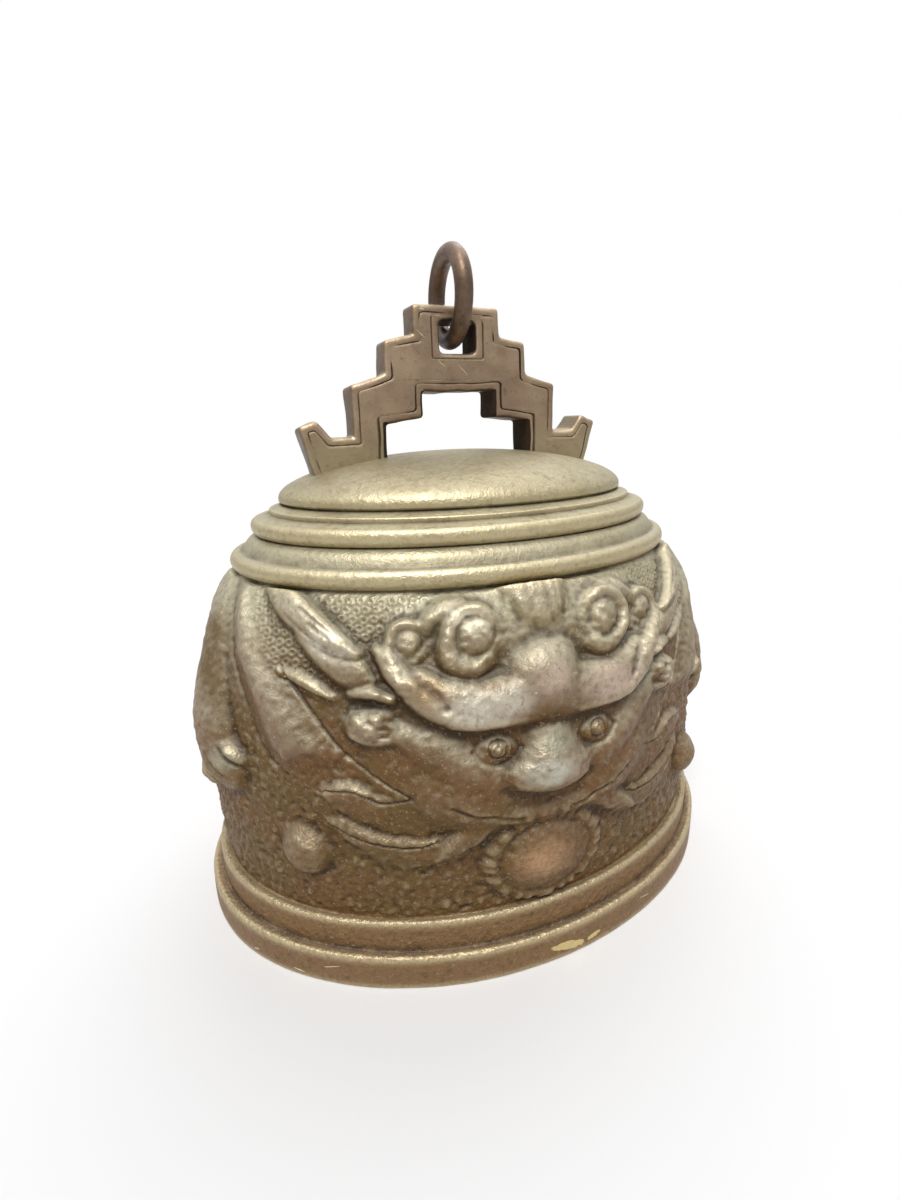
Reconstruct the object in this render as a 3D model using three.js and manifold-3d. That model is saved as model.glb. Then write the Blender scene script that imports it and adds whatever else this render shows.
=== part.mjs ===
// A cast bronze temple bell with an oval plan, standing on its rim.
// Millimetres, +Z up, origin on the floor at the centre of the rim.
// X runs along the oval's length and the crown, and the front face looks along -Y.
import * as THREE from "three";
import { mergeVertices } from "three/addons/utils/BufferGeometryUtils.js";
import Module from "manifold-3d";

const wasm = await Module();
wasm.setup();

// Plan and stack of the shell
const RIM_HALF_LENGTH = 105;
const RIM_HALF_DEPTH = 80;
const RIM_THICKNESS = 13;
const LOWER_BAND_HEIGHT = 12;
const UPPER_BAND_HEIGHT = 10.5;
const UPPER_BAND_STEP = 4.2;
const BAND_ROUND = 1.8;
const WALL_STEP = 3.8;
const WALL_HEIGHT = 101;
const WALL_THICKNESS = 7;
const BELLY_SWELL = 2.5;
const BELLY_HEIGHT = 38;
const SHOULDER_SWELL = 18;
const SHOULDER_DROP = 19;

// Shoulder mouldings: how far each reaches past the one above it, and how tall it is
const WALL_TUCK = 2;
const LOWER_BEAD_STEP = 8;
const LOWER_BEAD_HEIGHT = 6.5;
const COVE_HEIGHT = 5;
const MIDDLE_BEAD_STEP = 6.5;
const MIDDLE_BEAD_HEIGHT = 5.3;
const FILLET_STEP = 3.5;
const FILLET_HEIGHT = 2.7;
const LEDGE_HEIGHT = 1.4;
const UNDERCUT = 1.2;

// The guardian mask in relief, on the front and the back of the wall.
// It is drawn flat, in modules: across from its centre line, and up from the wall's foot.
const MASK_MODULE = 1;
const MASK_SHIFT = 4;
const MASK_BLEND = 1.5;
const MASK_EDGE = 2;
const MASK_SOFTENING = 1.7;
const MASK_ROUNDNESS = 0.8;

// Round forms of the mask: across, up, half width, half height and rise
const MASK_MOUNDS = {
  face: [0, 57.5, 52, 30, 5],
  scalp: [0, 85.5, 50, 22, 2.6],
  cloud: [49.5, 67.7, 9, 7, 6.2],
  fist: [105, 50.5, 9.8, 9.4, 6],
  sideBall: [77.5, 23.3, 8.8, 8.8, 5.6],
  frill: [0, 19, 21, 18, 2.4],
  pearl: [0, 19, 14.2, 12.6, 4.2],
  smallCurl: [38.5, 86.1, 9.2, 8.6, 4.8],
  largeCurl: [20, 87.5, 11.4, 12, 6.2],
  curlBoss: [20, 88.7, 5, 5, 7.4],
  eye: [15, 58.5, 6, 4.8, 6.8],
  bridge: [0, 59, 10, 9.5, 8.2],
  nose: [0, 49.3, 14.6, 9.6, 10],
  forehead: [0, 78.1, 9.8, 11.4, 8.8],
};

// Long forms of the mask, each a line of points: across, up, half width and rise
const MASK_ROLLS = {
  wing: [[90, 102, 7, 2.4], [87, 90, 11, 3.4], [82, 77, 12, 3.6], [77, 64, 9, 3.2], [78, 51, 3, 2]],
  arm: [[112, 103, 9, 2.8], [112, 90, 10, 3.6], [110, 76, 9.5, 3.8], [106, 57, 7, 3.8]],
  hornLeaf: [[83, 102, 1, 2], [76, 97, 4.4, 3.8], [68, 91.5, 5.6, 4.6], [54, 82.5, 3, 3.8]],
  hornLobe: [[64, 86, 2, 2.8], [58, 82, 4.6, 5], [50, 78, 5.4, 5.8], [42, 75.5, 4, 5.6]],
  upperLeaf: [[70, 45.5, 1.5, 2.4], [59, 46.2, 3.2, 4], [48, 43.2, 5, 4.2], [38, 40, 6.5, 4]],
  lowerLeaf: [[64, 36.5, 1.5, 2.4], [55, 31.5, 3.8, 4], [45, 27.5, 5, 4.2], [33, 27.5, 4.5, 4]],
  tuft: [[0, 104, 4.2, 4.6], [0, 91, 4, 5.6]],
  sideTuft: [[8.6, 104, 3.6, 4.2], [7.4, 92.5, 3.2, 4.6]],
  cheek: [[40, 63.5, 3, 5], [32, 59.5, 5.4, 6.4], [24, 54, 6.4, 7.2], [16, 49, 5.4, 6.8]],
  lip: [[0, 38, 3.4, 5], [8, 38, 3.8, 5.2], [16, 38.7, 3.4, 5.2], [23, 41, 2.4, 4.8]],
  brow: [[0, 69.5, 7.5, 7.2], [19, 72, 10.4, 8.6], [29, 74, 9.4, 8.2], [38, 78, 6.6, 7], [46, 83.5, 3, 4.4]],
  browTail: [[48, 84.5, 1.4, 5], [42, 80, 3.6, 8], [36, 75, 4.4, 9.6], [30.5, 69.7, 3.4, 9.2]],
};

// Dome, from its lip to its top
const DOME_MARGIN = 12.9;
const DOME_LIP_HEIGHT = 1.6;
const DOME_RISE = 13.5;
const DOME_SPRING = 6.8;
const DOME_CAP_HALF_LENGTH = 35;
const DOME_THICKNESS = 13.5;

// Stepped crown, with heights above the dome's top
const CROWN_PLATE = 13;
const CROWN_BEVEL = 1.2;
const CROWN_RISE = 45.6;
const CROWN_TOP_HALF_WIDTH = 15.3;
const CROWN_STEP_ONE = { halfWidth: 25.5, inner: 36.6, outer: 34.8 };
const CROWN_STEP_TWO = { halfWidth: 37.6, inner: 24.7, outer: 21.2 };
const VALLEY_HALF_WIDTH = 44.8;
const VALLEY_HEIGHT = 5.4;
const HORN_PEAK = { halfWidth: 49.2, height: 11 };
const HORN_TIP = { halfWidth: 55.4, height: 8.7 };
const FOOT_HALF_WIDTH = 50.6;
const ARCH_HALF_WIDTH = 26.6;
const ARCH_STEP_HEIGHT = 9.3;
const LINTEL_HALF_WIDTH = 13.2;
const LINTEL_STEP_HEIGHT = 10.9;
const LINTEL_HEIGHT = 19.2;

// The crown's eye, around the suspension ring's rod
const EYE_BAR = 4.5;
const EYE_CORNER = 2;
const EYE_SIDE_GAP = 3.4;
const EYE_FLOOR_GAP = 1.9;

// Crown fixing: a tenon under each foot, riveted over a rove against the ceiling
const TENON_LENGTH = 13;
const TENON_WIDTH = 8;
const ROVE_THICKNESS = 2.5;
const ROVE_MARGIN = 4;
const ROVE_EDGE_GAP = 1;
const RIVET_HEAD_HEIGHT = 3;
const RIVET_HEAD_SPREAD = 2;

// Suspension ring
const RING_ROD = 6;
const RING_MEAN_RADIUS = 13;
const RING_SEAM = 0.6;
const RING_SEAT_GAP = 0.6;

// Clapper and the staple that carries it
const STAPLE_ROD = 6;
const STAPLE_LEG_SPACING = 22;
const STAPLE_CORNER = 6;
const STAPLE_DROP = 20;
const STAPLE_SOCKET_DEPTH = 7;
const CLAPPER_LIFT = 8;
const CLAPPER_EYE_ROD = 5;
const CLAPPER_EYE_PLAY = 2.4;
const SHANK_TOP_DIAMETER = 6.4;
const SHANK_FOOT_DIAMETER = 9;
const SHANK_COLLAR_DIAMETER = 12;
const SHANK_COLLAR_HEIGHT = 3;
const SHANK_TENON_DIAMETER = 6;
const BALL_DIAMETER = 30;
const BALL_FLAT_MARGIN = 0.5;
const BUTTON_DIAMETER = 11;
const BUTTON_HEIGHT = 3;

// Clearance between pieces that fit into or rest on one another
const FIT_GAP = 0.3;
const OVERCUT = 1;

// Facets
const WALL_COLUMNS = 112;
const WALL_ROWS = 26;
const BAND_STRIDE = 2;
const INNER_STRIDE = 4;
const MASK_CROWDING = 0.35;
const ARC_SAMPLES = 1440;
const ROD_SIDES = 12;
const ROD_STEPS = 36;
const TURNED_SEGMENTS = 20;
const CURVE_POINTS = 8;
const MOULDING_POINTS = 4;

// Derived sizes, first along the oval's length
const PLAN_RATIO = RIM_HALF_DEPTH / RIM_HALF_LENGTH;
const UPPER_BAND_HALF_LENGTH = RIM_HALF_LENGTH - UPPER_BAND_STEP;
const WALL_FOOT_HALF_LENGTH = UPPER_BAND_HALF_LENGTH - WALL_STEP;
const DOME_HALF_LENGTH = FOOT_HALF_WIDTH + DOME_MARGIN;
const FILLET_HALF_LENGTH = DOME_HALF_LENGTH + FILLET_STEP;
const MIDDLE_BEAD_HALF_LENGTH = FILLET_HALF_LENGTH + MIDDLE_BEAD_STEP;
const LOWER_BEAD_HALF_LENGTH = MIDDLE_BEAD_HALF_LENGTH + LOWER_BEAD_STEP;
const WALL_TOP_HALF_LENGTH = LOWER_BEAD_HALF_LENGTH - WALL_TUCK;
const TENON_CENTRE = (ARCH_HALF_WIDTH + FOOT_HALF_WIDTH) / 2;
const ROVE_CORNER = Math.hypot(TENON_CENTRE + TENON_LENGTH / 2 + ROVE_MARGIN,
  (TENON_WIDTH / 2 + ROVE_MARGIN) / PLAN_RATIO);
const CEILING_HALF_LENGTH = ROVE_CORNER + ROVE_EDGE_GAP;

// Heights above the floor
const LOWER_BAND_TOP = LOWER_BAND_HEIGHT;
const UPPER_BAND_TOP = LOWER_BAND_TOP + UPPER_BAND_HEIGHT;
const WALL_TOP = UPPER_BAND_TOP + WALL_HEIGHT;
const COVE_FOOT = WALL_TOP + LOWER_BEAD_HEIGHT;
const MIDDLE_BEAD_FOOT = COVE_FOOT + COVE_HEIGHT;
const FILLET_FOOT = MIDDLE_BEAD_FOOT + MIDDLE_BEAD_HEIGHT;
const LEDGE_FOOT = FILLET_FOOT + FILLET_HEIGHT;
const LIP_FOOT = LEDGE_FOOT + LEDGE_HEIGHT;
const DOME_FOOT = LIP_FOOT + DOME_LIP_HEIGHT;
const DOME_TOP = DOME_FOOT + DOME_RISE;
const CEILING = DOME_TOP - DOME_THICKNESS;

// The ring hangs a small gap under the eye's front and back edges, and the eye is cut to hold it
const EYE_TOP = CROWN_RISE - EYE_BAR;
const EYE_EDGE = CROWN_PLATE / 2 - CROWN_BEVEL;
const RING_INNER_RADIUS = RING_MEAN_RADIUS - RING_ROD / 2;
const RING_CENTRE = EYE_TOP - RING_SEAT_GAP + Math.sqrt(RING_INNER_RADIUS ** 2 - EYE_EDGE ** 2);
const EYE_BOTTOM = RING_CENTRE - RING_MEAN_RADIUS - RING_ROD / 2 - EYE_FLOOR_GAP;
const EYE_HALF_WIDTH = RING_ROD / 2 + EYE_SIDE_GAP;

// The clapper hangs from the staple's bar and stops short of the floor
const STAPLE_BAR = CEILING - STAPLE_DROP;
const BALL_RADIUS = BALL_DIAMETER / 2;
const BALL_FLAT = Math.sqrt(BALL_RADIUS ** 2 - (SHANK_COLLAR_DIAMETER / 2 + BALL_FLAT_MARGIN) ** 2);
const BALL_CENTRE = CLAPPER_LIFT + BUTTON_HEIGHT + FIT_GAP + BALL_FLAT;
const CLAPPER_REACH = STAPLE_BAR - BALL_CENTRE;

// Solids

function solidOf(geometry) {
  const bare = geometry.clone();
  bare.deleteAttribute("normal");
  bare.deleteAttribute("uv");
  const merged = mergeVertices(bare, 1e-4);
  return new wasm.Manifold(
    new wasm.Mesh({
      numProp: 3,
      vertProperties: new Float32Array(merged.attributes.position.array),
      triVerts: new Uint32Array(merged.index.array),
    }),
  );
}

function geometryOf(solid) {
  const mesh = solid.getMesh();
  const geometry = new THREE.BufferGeometry();
  geometry.setAttribute("position", new THREE.BufferAttribute(mesh.vertProperties, 3));
  geometry.setIndex(new THREE.BufferAttribute(mesh.triVerts, 1));
  const faceted = geometry.toNonIndexed();
  faceted.computeVertexNormals();
  return faceted;
}

// Turns a profile of (radius, height) points about Z.
function turned(profile, segments) {
  return new THREE.LatheGeometry(profile, segments).rotateX(Math.PI / 2);
}

// A rectangular block between two corners.
function block(low, high) {
  const size = new THREE.Vector3().subVectors(high, low);
  const middle = new THREE.Vector3().addVectors(low, high).multiplyScalar(0.5);
  return new THREE.BoxGeometry(size.x, size.y, size.z).translate(middle.x, middle.y, middle.z);
}

// A round rod swept along a path.
function rod(path, diameter, steps) {
  const section = new THREE.Shape();
  for (let i = 0; i < ROD_SIDES; i++) {
    const angle = (2 * Math.PI * i) / ROD_SIDES;
    section[i ? "lineTo" : "moveTo"]((diameter / 2) * Math.cos(angle), (diameter / 2) * Math.sin(angle));
  }
  return new THREE.ExtrudeGeometry(section, { steps, bevelEnabled: false, extrudePath: path });
}

// Oval sweep

// Columns round the oval, closest over the two masks: each has its angle from the front,
// and its distance along an oval of unit half length from the nearer mask's centre line.
function ovalColumns() {
  const runs = [0];
  const angleAt = (i) => (2 * Math.PI * i) / ARC_SAMPLES;
  for (let i = 1; i <= ARC_SAMPLES; i++) {
    const [a, b] = [angleAt(i - 1), angleAt(i)];
    const run = Math.hypot(Math.sin(b) - Math.sin(a), PLAN_RATIO * (Math.cos(b) - Math.cos(a)));
    runs.push(runs[i - 1] + run);
  }
  const round = runs[ARC_SAMPLES];
  const columns = [];
  for (let i = 0; i < WALL_COLUMNS; i++) {
    const share = i / WALL_COLUMNS;
    const along = round * (share - (MASK_CROWDING * Math.sin(4 * Math.PI * share)) / (4 * Math.PI));
    const place = (along - MASK_SHIFT / WALL_FOOT_HALF_LENGTH + round) % round;
    const next = runs.findIndex((run) => run > place);
    const part = (place - runs[next - 1]) / (runs[next] - runs[next - 1]);
    const across = Math.abs(((along + round / 4) % (round / 2)) - round / 4);
    columns.push({ angle: angleAt(next - 1 + part), across });
  }
  return columns;
}

const COLUMNS = ovalColumns();

// One ring of points round the oval at a profile point; stride skips columns.
function ovalRing(point, stride) {
  const ring = [];
  for (let i = 0; i < WALL_COLUMNS; i += stride) {
    const { angle } = COLUMNS[i];
    ring.push(new THREE.Vector3(point.x * Math.sin(angle), -PLAN_RATIO * point.x * Math.cos(angle), point.y));
  }
  return ring;
}

// A profile's rings; a point on the axis is a ring of one.
function ovalRings(profile, stride) {
  return profile.map((point) => (point.x > 0 ? ovalRing(point, stride) : [new THREE.Vector3(0, 0, point.y)]));
}

// Triangles between two rings, of which one may have twice the other's points or be a single point.
// Each four-sided field is halved along its shorter diagonal.
function ringBand(lower, upper) {
  const triangles = [];
  const columns = Math.max(lower.length, upper.length);
  const at = (ring, i) => ring[Math.floor((i % columns) * (ring.length / columns))];
  for (let i = 0; i < columns; i++) {
    const [a, b] = [at(lower, i), at(lower, i + 1)];
    const [c, d] = [at(upper, i), at(upper, i + 1)];
    const rising = a !== b && c !== d && a.distanceTo(d) < b.distanceTo(c);
    if (a !== b) triangles.push([a, b, rising ? d : c]);
    if (c !== d) triangles.push([rising ? a : b, d, c]);
  }
  return triangles;
}

// A surface over a run of rings; where the run closes on itself the last ring meets the first.
function sweptRings(rings, closed) {
  const triangles = rings.slice(1).map((ring, i) => ringBand(rings[i], ring));
  if (closed) triangles.push(ringBand(rings[rings.length - 1], rings[0]));
  return new THREE.BufferGeometry().setFromPoints(triangles.flat(2));
}

// Mask

// A mound's rise at a place on the flat drawing.
function moundRise([across, up, halfWidth, halfHeight, rise], x, y) {
  const far = ((x - across) / halfWidth) ** 2 + ((y - up) / halfHeight) ** 2;
  return far < 1 ? rise * (1 - far) ** MASK_ROUNDNESS : 0;
}

// A roll's rise: that of its nearest stretch, whose width and height change along it.
function rollRise(line, x, y) {
  let best = 0;
  for (let i = 1; i < line.length; i++) {
    const [a, b] = [line[i - 1], line[i]];
    const [run, climb] = [b[0] - a[0], b[1] - a[1]];
    const along = ((x - a[0]) * run + (y - a[1]) * climb) / (run * run + climb * climb);
    const part = THREE.MathUtils.clamp(along, 0, 1);
    const [, , halfWidth, rise] = a.map((value, k) => THREE.MathUtils.lerp(value, b[k], part));
    const far = Math.hypot(x - a[0] - part * run, y - a[1] - part * climb) / halfWidth;
    if (far < 1) best = Math.max(best, rise * (1 - far * far) ** MASK_ROUNDNESS);
  }
  return best;
}

// Joins two rises with a soft crease.
function softJoin(a, b) {
  const share = THREE.MathUtils.clamp(0.5 + (0.5 * (b - a)) / MASK_BLEND, 0, 1);
  return THREE.MathUtils.lerp(a, b, share) + MASK_BLEND * share * (1 - share);
}

// The rise of all the mask's forms at a place on the flat drawing.
function drawnRise(x, y) {
  const rises = [];
  for (const mound of Object.values(MASK_MOUNDS)) rises.push(moundRise(mound, x, y));
  for (const roll of Object.values(MASK_ROLLS)) rises.push(rollRise(roll, x, y));
  return rises.filter((value) => value > 0).reduce(softJoin, 0);
}

// How far the mask stands off the wall, across from its centre line and up from the wall's foot.
// It is the mean over a small square, and it ends at the wall's foot and top.
function maskRise(across, up) {
  const [x, y] = [across / MASK_MODULE, up / MASK_MODULE];
  const steps = [-MASK_SOFTENING, 0, MASK_SOFTENING];
  const samples = steps.flatMap((dx) => steps.map((dy) => drawnRise(Math.abs(x + dx), y + dy)));
  const mean = samples.reduce((sum, value) => sum + value) / samples.length;
  const edge = Math.min(up, WALL_HEIGHT - up) / MASK_EDGE;
  return mean * MASK_MODULE * THREE.MathUtils.smoothstep(edge, 0, 1);
}

// The wall's rings from its foot to its top, with the mask raised on them.
function maskedWall() {
  const curve = wallCurve(0);
  const rings = [];
  for (let row = 0; row <= WALL_ROWS; row++) {
    const point = curve.getPointAt(row / WALL_ROWS);
    const tangent = curve.getTangentAt(row / WALL_ROWS);
    const ring = ovalRing(point, 1);
    ring.forEach((vertex, i) => {
      const { angle, across } = COLUMNS[i];
      const sideways = new THREE.Vector3(Math.cos(angle), PLAN_RATIO * Math.sin(angle), 0);
      const upward = new THREE.Vector3(tangent.x * Math.sin(angle), -PLAN_RATIO * tangent.x * Math.cos(angle),
        tangent.y);
      const outward = sideways.cross(upward).normalize();
      vertex.addScaledVector(outward, maskRise(across * point.x, point.y - UPPER_BAND_TOP));
    });
    rings.push(ring);
  }
  return rings;
}

// Shell

// The wall's outer line, from the upper band to the shoulder, moved in by inset.
function wallCurve(inset) {
  return new THREE.CubicBezierCurve(
    new THREE.Vector2(WALL_FOOT_HALF_LENGTH - inset, UPPER_BAND_TOP),
    new THREE.Vector2(WALL_FOOT_HALF_LENGTH + BELLY_SWELL - inset, UPPER_BAND_TOP + BELLY_HEIGHT),
    new THREE.Vector2(WALL_TOP_HALF_LENGTH + SHOULDER_SWELL - inset, WALL_TOP - SHOULDER_DROP),
    new THREE.Vector2(WALL_TOP_HALF_LENGTH - inset, WALL_TOP),
  );
}

// One rounded band of the rim, from its foot to its rounded top edge.
function bandProfile(path, halfLength, top) {
  path.lineTo(halfLength, top - BAND_ROUND);
  path.quadraticCurveTo(halfLength, top, halfLength - BAND_ROUND, top);
}

// A half-round bead from a foot point; its cubic's handles make its crest reach halfLength.
function beadProfile(path, inner, halfLength, foot, height) {
  const handle = halfLength + (halfLength - inner) / 3;
  path.bezierCurveTo(handle, foot, handle, foot + height, inner, foot + height);
}

function mouldingProfile(path) {
  const beadFoot = WALL_TOP_HALF_LENGTH - UNDERCUT;
  const groove = UNDERCUT / 2;
  path.moveTo(beadFoot, WALL_TOP + groove);
  beadProfile(path, beadFoot, LOWER_BEAD_HALF_LENGTH, WALL_TOP + groove, LOWER_BEAD_HEIGHT - groove);
  const middleFoot = MIDDLE_BEAD_HALF_LENGTH - 2 * UNDERCUT;
  path.bezierCurveTo(beadFoot - 2 * UNDERCUT, COVE_FOOT, beadFoot - UNDERCUT, MIDDLE_BEAD_FOOT - UNDERCUT,
    middleFoot, MIDDLE_BEAD_FOOT);
  beadProfile(path, middleFoot, MIDDLE_BEAD_HALF_LENGTH, MIDDLE_BEAD_FOOT, MIDDLE_BEAD_HEIGHT);
  path.lineTo(FILLET_HALF_LENGTH, FILLET_FOOT + UNDERCUT);
  path.lineTo(FILLET_HALF_LENGTH, LEDGE_FOOT);
  path.lineTo(DOME_HALF_LENGTH - UNDERCUT, LIP_FOOT);
}

// The dome from its lip to the axis, raised by gap.
function domeProfile(path, gap) {
  path.lineTo(DOME_HALF_LENGTH + gap, LIP_FOOT + DOME_LIP_HEIGHT / 2);
  path.lineTo(DOME_HALF_LENGTH + gap, DOME_FOOT + gap);
  path.bezierCurveTo(DOME_HALF_LENGTH + gap, DOME_FOOT + gap + DOME_SPRING,
    DOME_CAP_HALF_LENGTH, DOME_TOP + gap, 0, DOME_TOP + gap);
}

// From the ceiling's middle down to the rim's inner edge.
function innerProfile() {
  const [, first, ...rest] = wallCurve(WALL_THICKNESS).getPoints(CURVE_POINTS).reverse();
  const path = new THREE.Path();
  path.moveTo(0, CEILING);
  path.lineTo(CEILING_HALF_LENGTH, CEILING);
  path.bezierCurveTo(CEILING_HALF_LENGTH + WALL_THICKNESS, CEILING, first.x, first.y + WALL_THICKNESS,
    first.x, first.y);
  for (const point of rest) path.lineTo(point.x, point.y);
  path.lineTo(RIM_HALF_LENGTH - RIM_THICKNESS, 0);
  return path.getPoints(MOULDING_POINTS);
}

// The two bands of the rim, from the floor to the wall's foot.
function rimProfile() {
  const path = new THREE.Path();
  path.moveTo(RIM_HALF_LENGTH, 0);
  bandProfile(path, RIM_HALF_LENGTH, LOWER_BAND_TOP);
  path.lineTo(UPPER_BAND_HALF_LENGTH, LOWER_BAND_TOP);
  bandProfile(path, UPPER_BAND_HALF_LENGTH, UPPER_BAND_TOP);
  return path.getPoints(MOULDING_POINTS);
}

// The mouldings and the dome, from the wall's top to the axis.
function shoulderProfile() {
  const path = new THREE.Path();
  mouldingProfile(path);
  domeProfile(path, 0);
  return path.getPoints(MOULDING_POINTS);
}

// The space that a foot's tenon takes through the dome, widened by gap.
function tenonBlock(side, bottom, top, gap) {
  const low = new THREE.Vector3(side * TENON_CENTRE - TENON_LENGTH / 2 - gap, -TENON_WIDTH / 2 - gap, bottom);
  const high = new THREE.Vector3(side * TENON_CENTRE + TENON_LENGTH / 2 + gap, TENON_WIDTH / 2 + gap, top);
  return block(low, high);
}

function bellShell() {
  const rings = [
    ...ovalRings(rimProfile(), BAND_STRIDE),
    ...maskedWall(),
    ...ovalRings(shoulderProfile(), BAND_STRIDE),
    ...ovalRings(innerProfile(), INNER_STRIDE),
  ];
  let shell = solidOf(sweptRings(rings, true));
  for (const side of [-1, 1]) {
    shell = shell.subtract(solidOf(tenonBlock(side, CEILING - FIT_GAP, DOME_TOP, FIT_GAP)));
    const socket = new THREE.CylinderGeometry(
      STAPLE_ROD / 2 + FIT_GAP, STAPLE_ROD / 2 + FIT_GAP, STAPLE_SOCKET_DEPTH + 2 * FIT_GAP, ROD_SIDES)
      .rotateX(Math.PI / 2)
      .translate(side * STAPLE_LEG_SPACING / 2, 0, CEILING + STAPLE_SOCKET_DEPTH / 2);
    shell = shell.subtract(solidOf(socket));
  }
  return geometryOf(shell);
}

// Crown

// The crown's outline in the XZ plane; each half is the mirror of the other.
function crownOutline() {
  const footBottom = CEILING - DOME_TOP;
  const half = [
    [CROWN_TOP_HALF_WIDTH, CROWN_RISE],
    [CROWN_TOP_HALF_WIDTH, CROWN_STEP_ONE.inner],
    [CROWN_STEP_ONE.halfWidth, CROWN_STEP_ONE.outer],
    [CROWN_STEP_ONE.halfWidth, CROWN_STEP_TWO.inner],
    [CROWN_STEP_TWO.halfWidth, CROWN_STEP_TWO.outer],
    [CROWN_STEP_TWO.halfWidth, VALLEY_HEIGHT],
    [VALLEY_HALF_WIDTH, VALLEY_HEIGHT],
    [HORN_PEAK.halfWidth, HORN_PEAK.height],
    [HORN_TIP.halfWidth, HORN_TIP.height],
    [FOOT_HALF_WIDTH, footBottom],
    [ARCH_HALF_WIDTH, footBottom],
    [ARCH_HALF_WIDTH, ARCH_STEP_HEIGHT],
    [LINTEL_HALF_WIDTH, LINTEL_STEP_HEIGHT],
    [LINTEL_HALF_WIDTH, LINTEL_HEIGHT],
  ];
  const right = half.map(([x, z]) => new THREE.Vector2(x, z));
  const left = half.map(([x, z]) => new THREE.Vector2(-x, z)).reverse();
  return new THREE.Shape([...right, ...left]);
}

function eyeOutline() {
  const right = EYE_HALF_WIDTH;
  const top = EYE_TOP;
  const bottom = EYE_BOTTOM;
  const hole = new THREE.Path();
  hole.moveTo(right, bottom + EYE_CORNER);
  hole.lineTo(right, top - EYE_CORNER);
  hole.quadraticCurveTo(right, top, right - EYE_CORNER, top);
  hole.lineTo(EYE_CORNER - right, top);
  hole.quadraticCurveTo(-right, top, -right, top - EYE_CORNER);
  hole.lineTo(-right, bottom + EYE_CORNER);
  hole.quadraticCurveTo(-right, bottom, EYE_CORNER - right, bottom);
  hole.lineTo(right - EYE_CORNER, bottom);
  hole.quadraticCurveTo(right, bottom, right, bottom + EYE_CORNER);
  return hole;
}

// What the crown's feet stand on: the dome as a closed solid, raised by the fit gap.
function domeSeat() {
  const path = new THREE.Path();
  path.moveTo(0, CEILING - FIT_GAP);
  path.lineTo(DOME_HALF_LENGTH + FIT_GAP, CEILING - FIT_GAP);
  domeProfile(path, FIT_GAP);
  return solidOf(sweptRings(ovalRings(path.getPoints(CURVE_POINTS), BAND_STRIDE), false));
}

// A foot's tenon with the head that its end is riveted into, below the rove.
function rivetedTenon(side) {
  const headTop = CEILING - ROVE_THICKNESS - 2 * FIT_GAP;
  const headBottom = headTop - RIVET_HEAD_HEIGHT;
  const tenon = solidOf(tenonBlock(side, headBottom, DOME_TOP - FIT_GAP, 0));
  return tenon.add(solidOf(tenonBlock(side, headBottom, headTop, RIVET_HEAD_SPREAD)));
}

function steppedCrown() {
  const outline = crownOutline();
  outline.holes.push(eyeOutline());
  const plate = new THREE.ExtrudeGeometry(outline, {
    depth: CROWN_PLATE - 2 * CROWN_BEVEL,
    bevelThickness: CROWN_BEVEL,
    bevelSize: CROWN_BEVEL,
    bevelOffset: -CROWN_BEVEL,
    bevelSegments: 2,
    curveSegments: 3,
  });
  plate.translate(0, 0, CROWN_BEVEL - CROWN_PLATE / 2).rotateX(Math.PI / 2).translate(0, 0, DOME_TOP);
  let crown = solidOf(plate).subtract(domeSeat());
  for (const side of [-1, 1]) crown = crown.add(rivetedTenon(side));
  return geometryOf(crown);
}

// The plate between the ceiling and a tenon's riveted head.
function crownRove(side) {
  const top = CEILING - FIT_GAP;
  const plate = solidOf(tenonBlock(side, top - ROVE_THICKNESS, top, ROVE_MARGIN));
  const slot = solidOf(tenonBlock(side, top - ROVE_THICKNESS - OVERCUT, top + OVERCUT, FIT_GAP));
  return geometryOf(plate.subtract(slot));
}

// Suspension ring

// An arc of the ring from one butted end to the other, in the YZ plane.
class RingArc extends THREE.Curve {
  getPoint(t) {
    const seam = RING_SEAM / RING_MEAN_RADIUS;
    const angle = seam / 2 + t * (2 * Math.PI - seam);
    return new THREE.Vector3(0, RING_MEAN_RADIUS * Math.cos(angle), RING_MEAN_RADIUS * Math.sin(angle));
  }
}

function suspensionRing() {
  return rod(new RingArc(), RING_ROD, ROD_STEPS);
}

// Clapper

function stapleCurve() {
  const reach = STAPLE_LEG_SPACING / 2;
  const top = CEILING + STAPLE_SOCKET_DEPTH - FIT_GAP;
  const bend = STAPLE_BAR + STAPLE_CORNER;
  const at = (x, z) => new THREE.Vector3(x, 0, z);
  const path = new THREE.CurvePath();
  path.add(new THREE.LineCurve3(at(-reach, top), at(-reach, bend)));
  path.add(new THREE.QuadraticBezierCurve3(at(-reach, bend), at(-reach, STAPLE_BAR),
    at(STAPLE_CORNER - reach, STAPLE_BAR)));
  path.add(new THREE.LineCurve3(at(STAPLE_CORNER - reach, STAPLE_BAR),
    at(reach - STAPLE_CORNER, STAPLE_BAR)));
  path.add(new THREE.QuadraticBezierCurve3(at(reach - STAPLE_CORNER, STAPLE_BAR), at(reach, STAPLE_BAR),
    at(reach, bend)));
  path.add(new THREE.LineCurve3(at(reach, bend), at(reach, top)));
  return path;
}

function clapperStaple() {
  return rod(stapleCurve(), STAPLE_ROD, ROD_STEPS);
}

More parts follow.
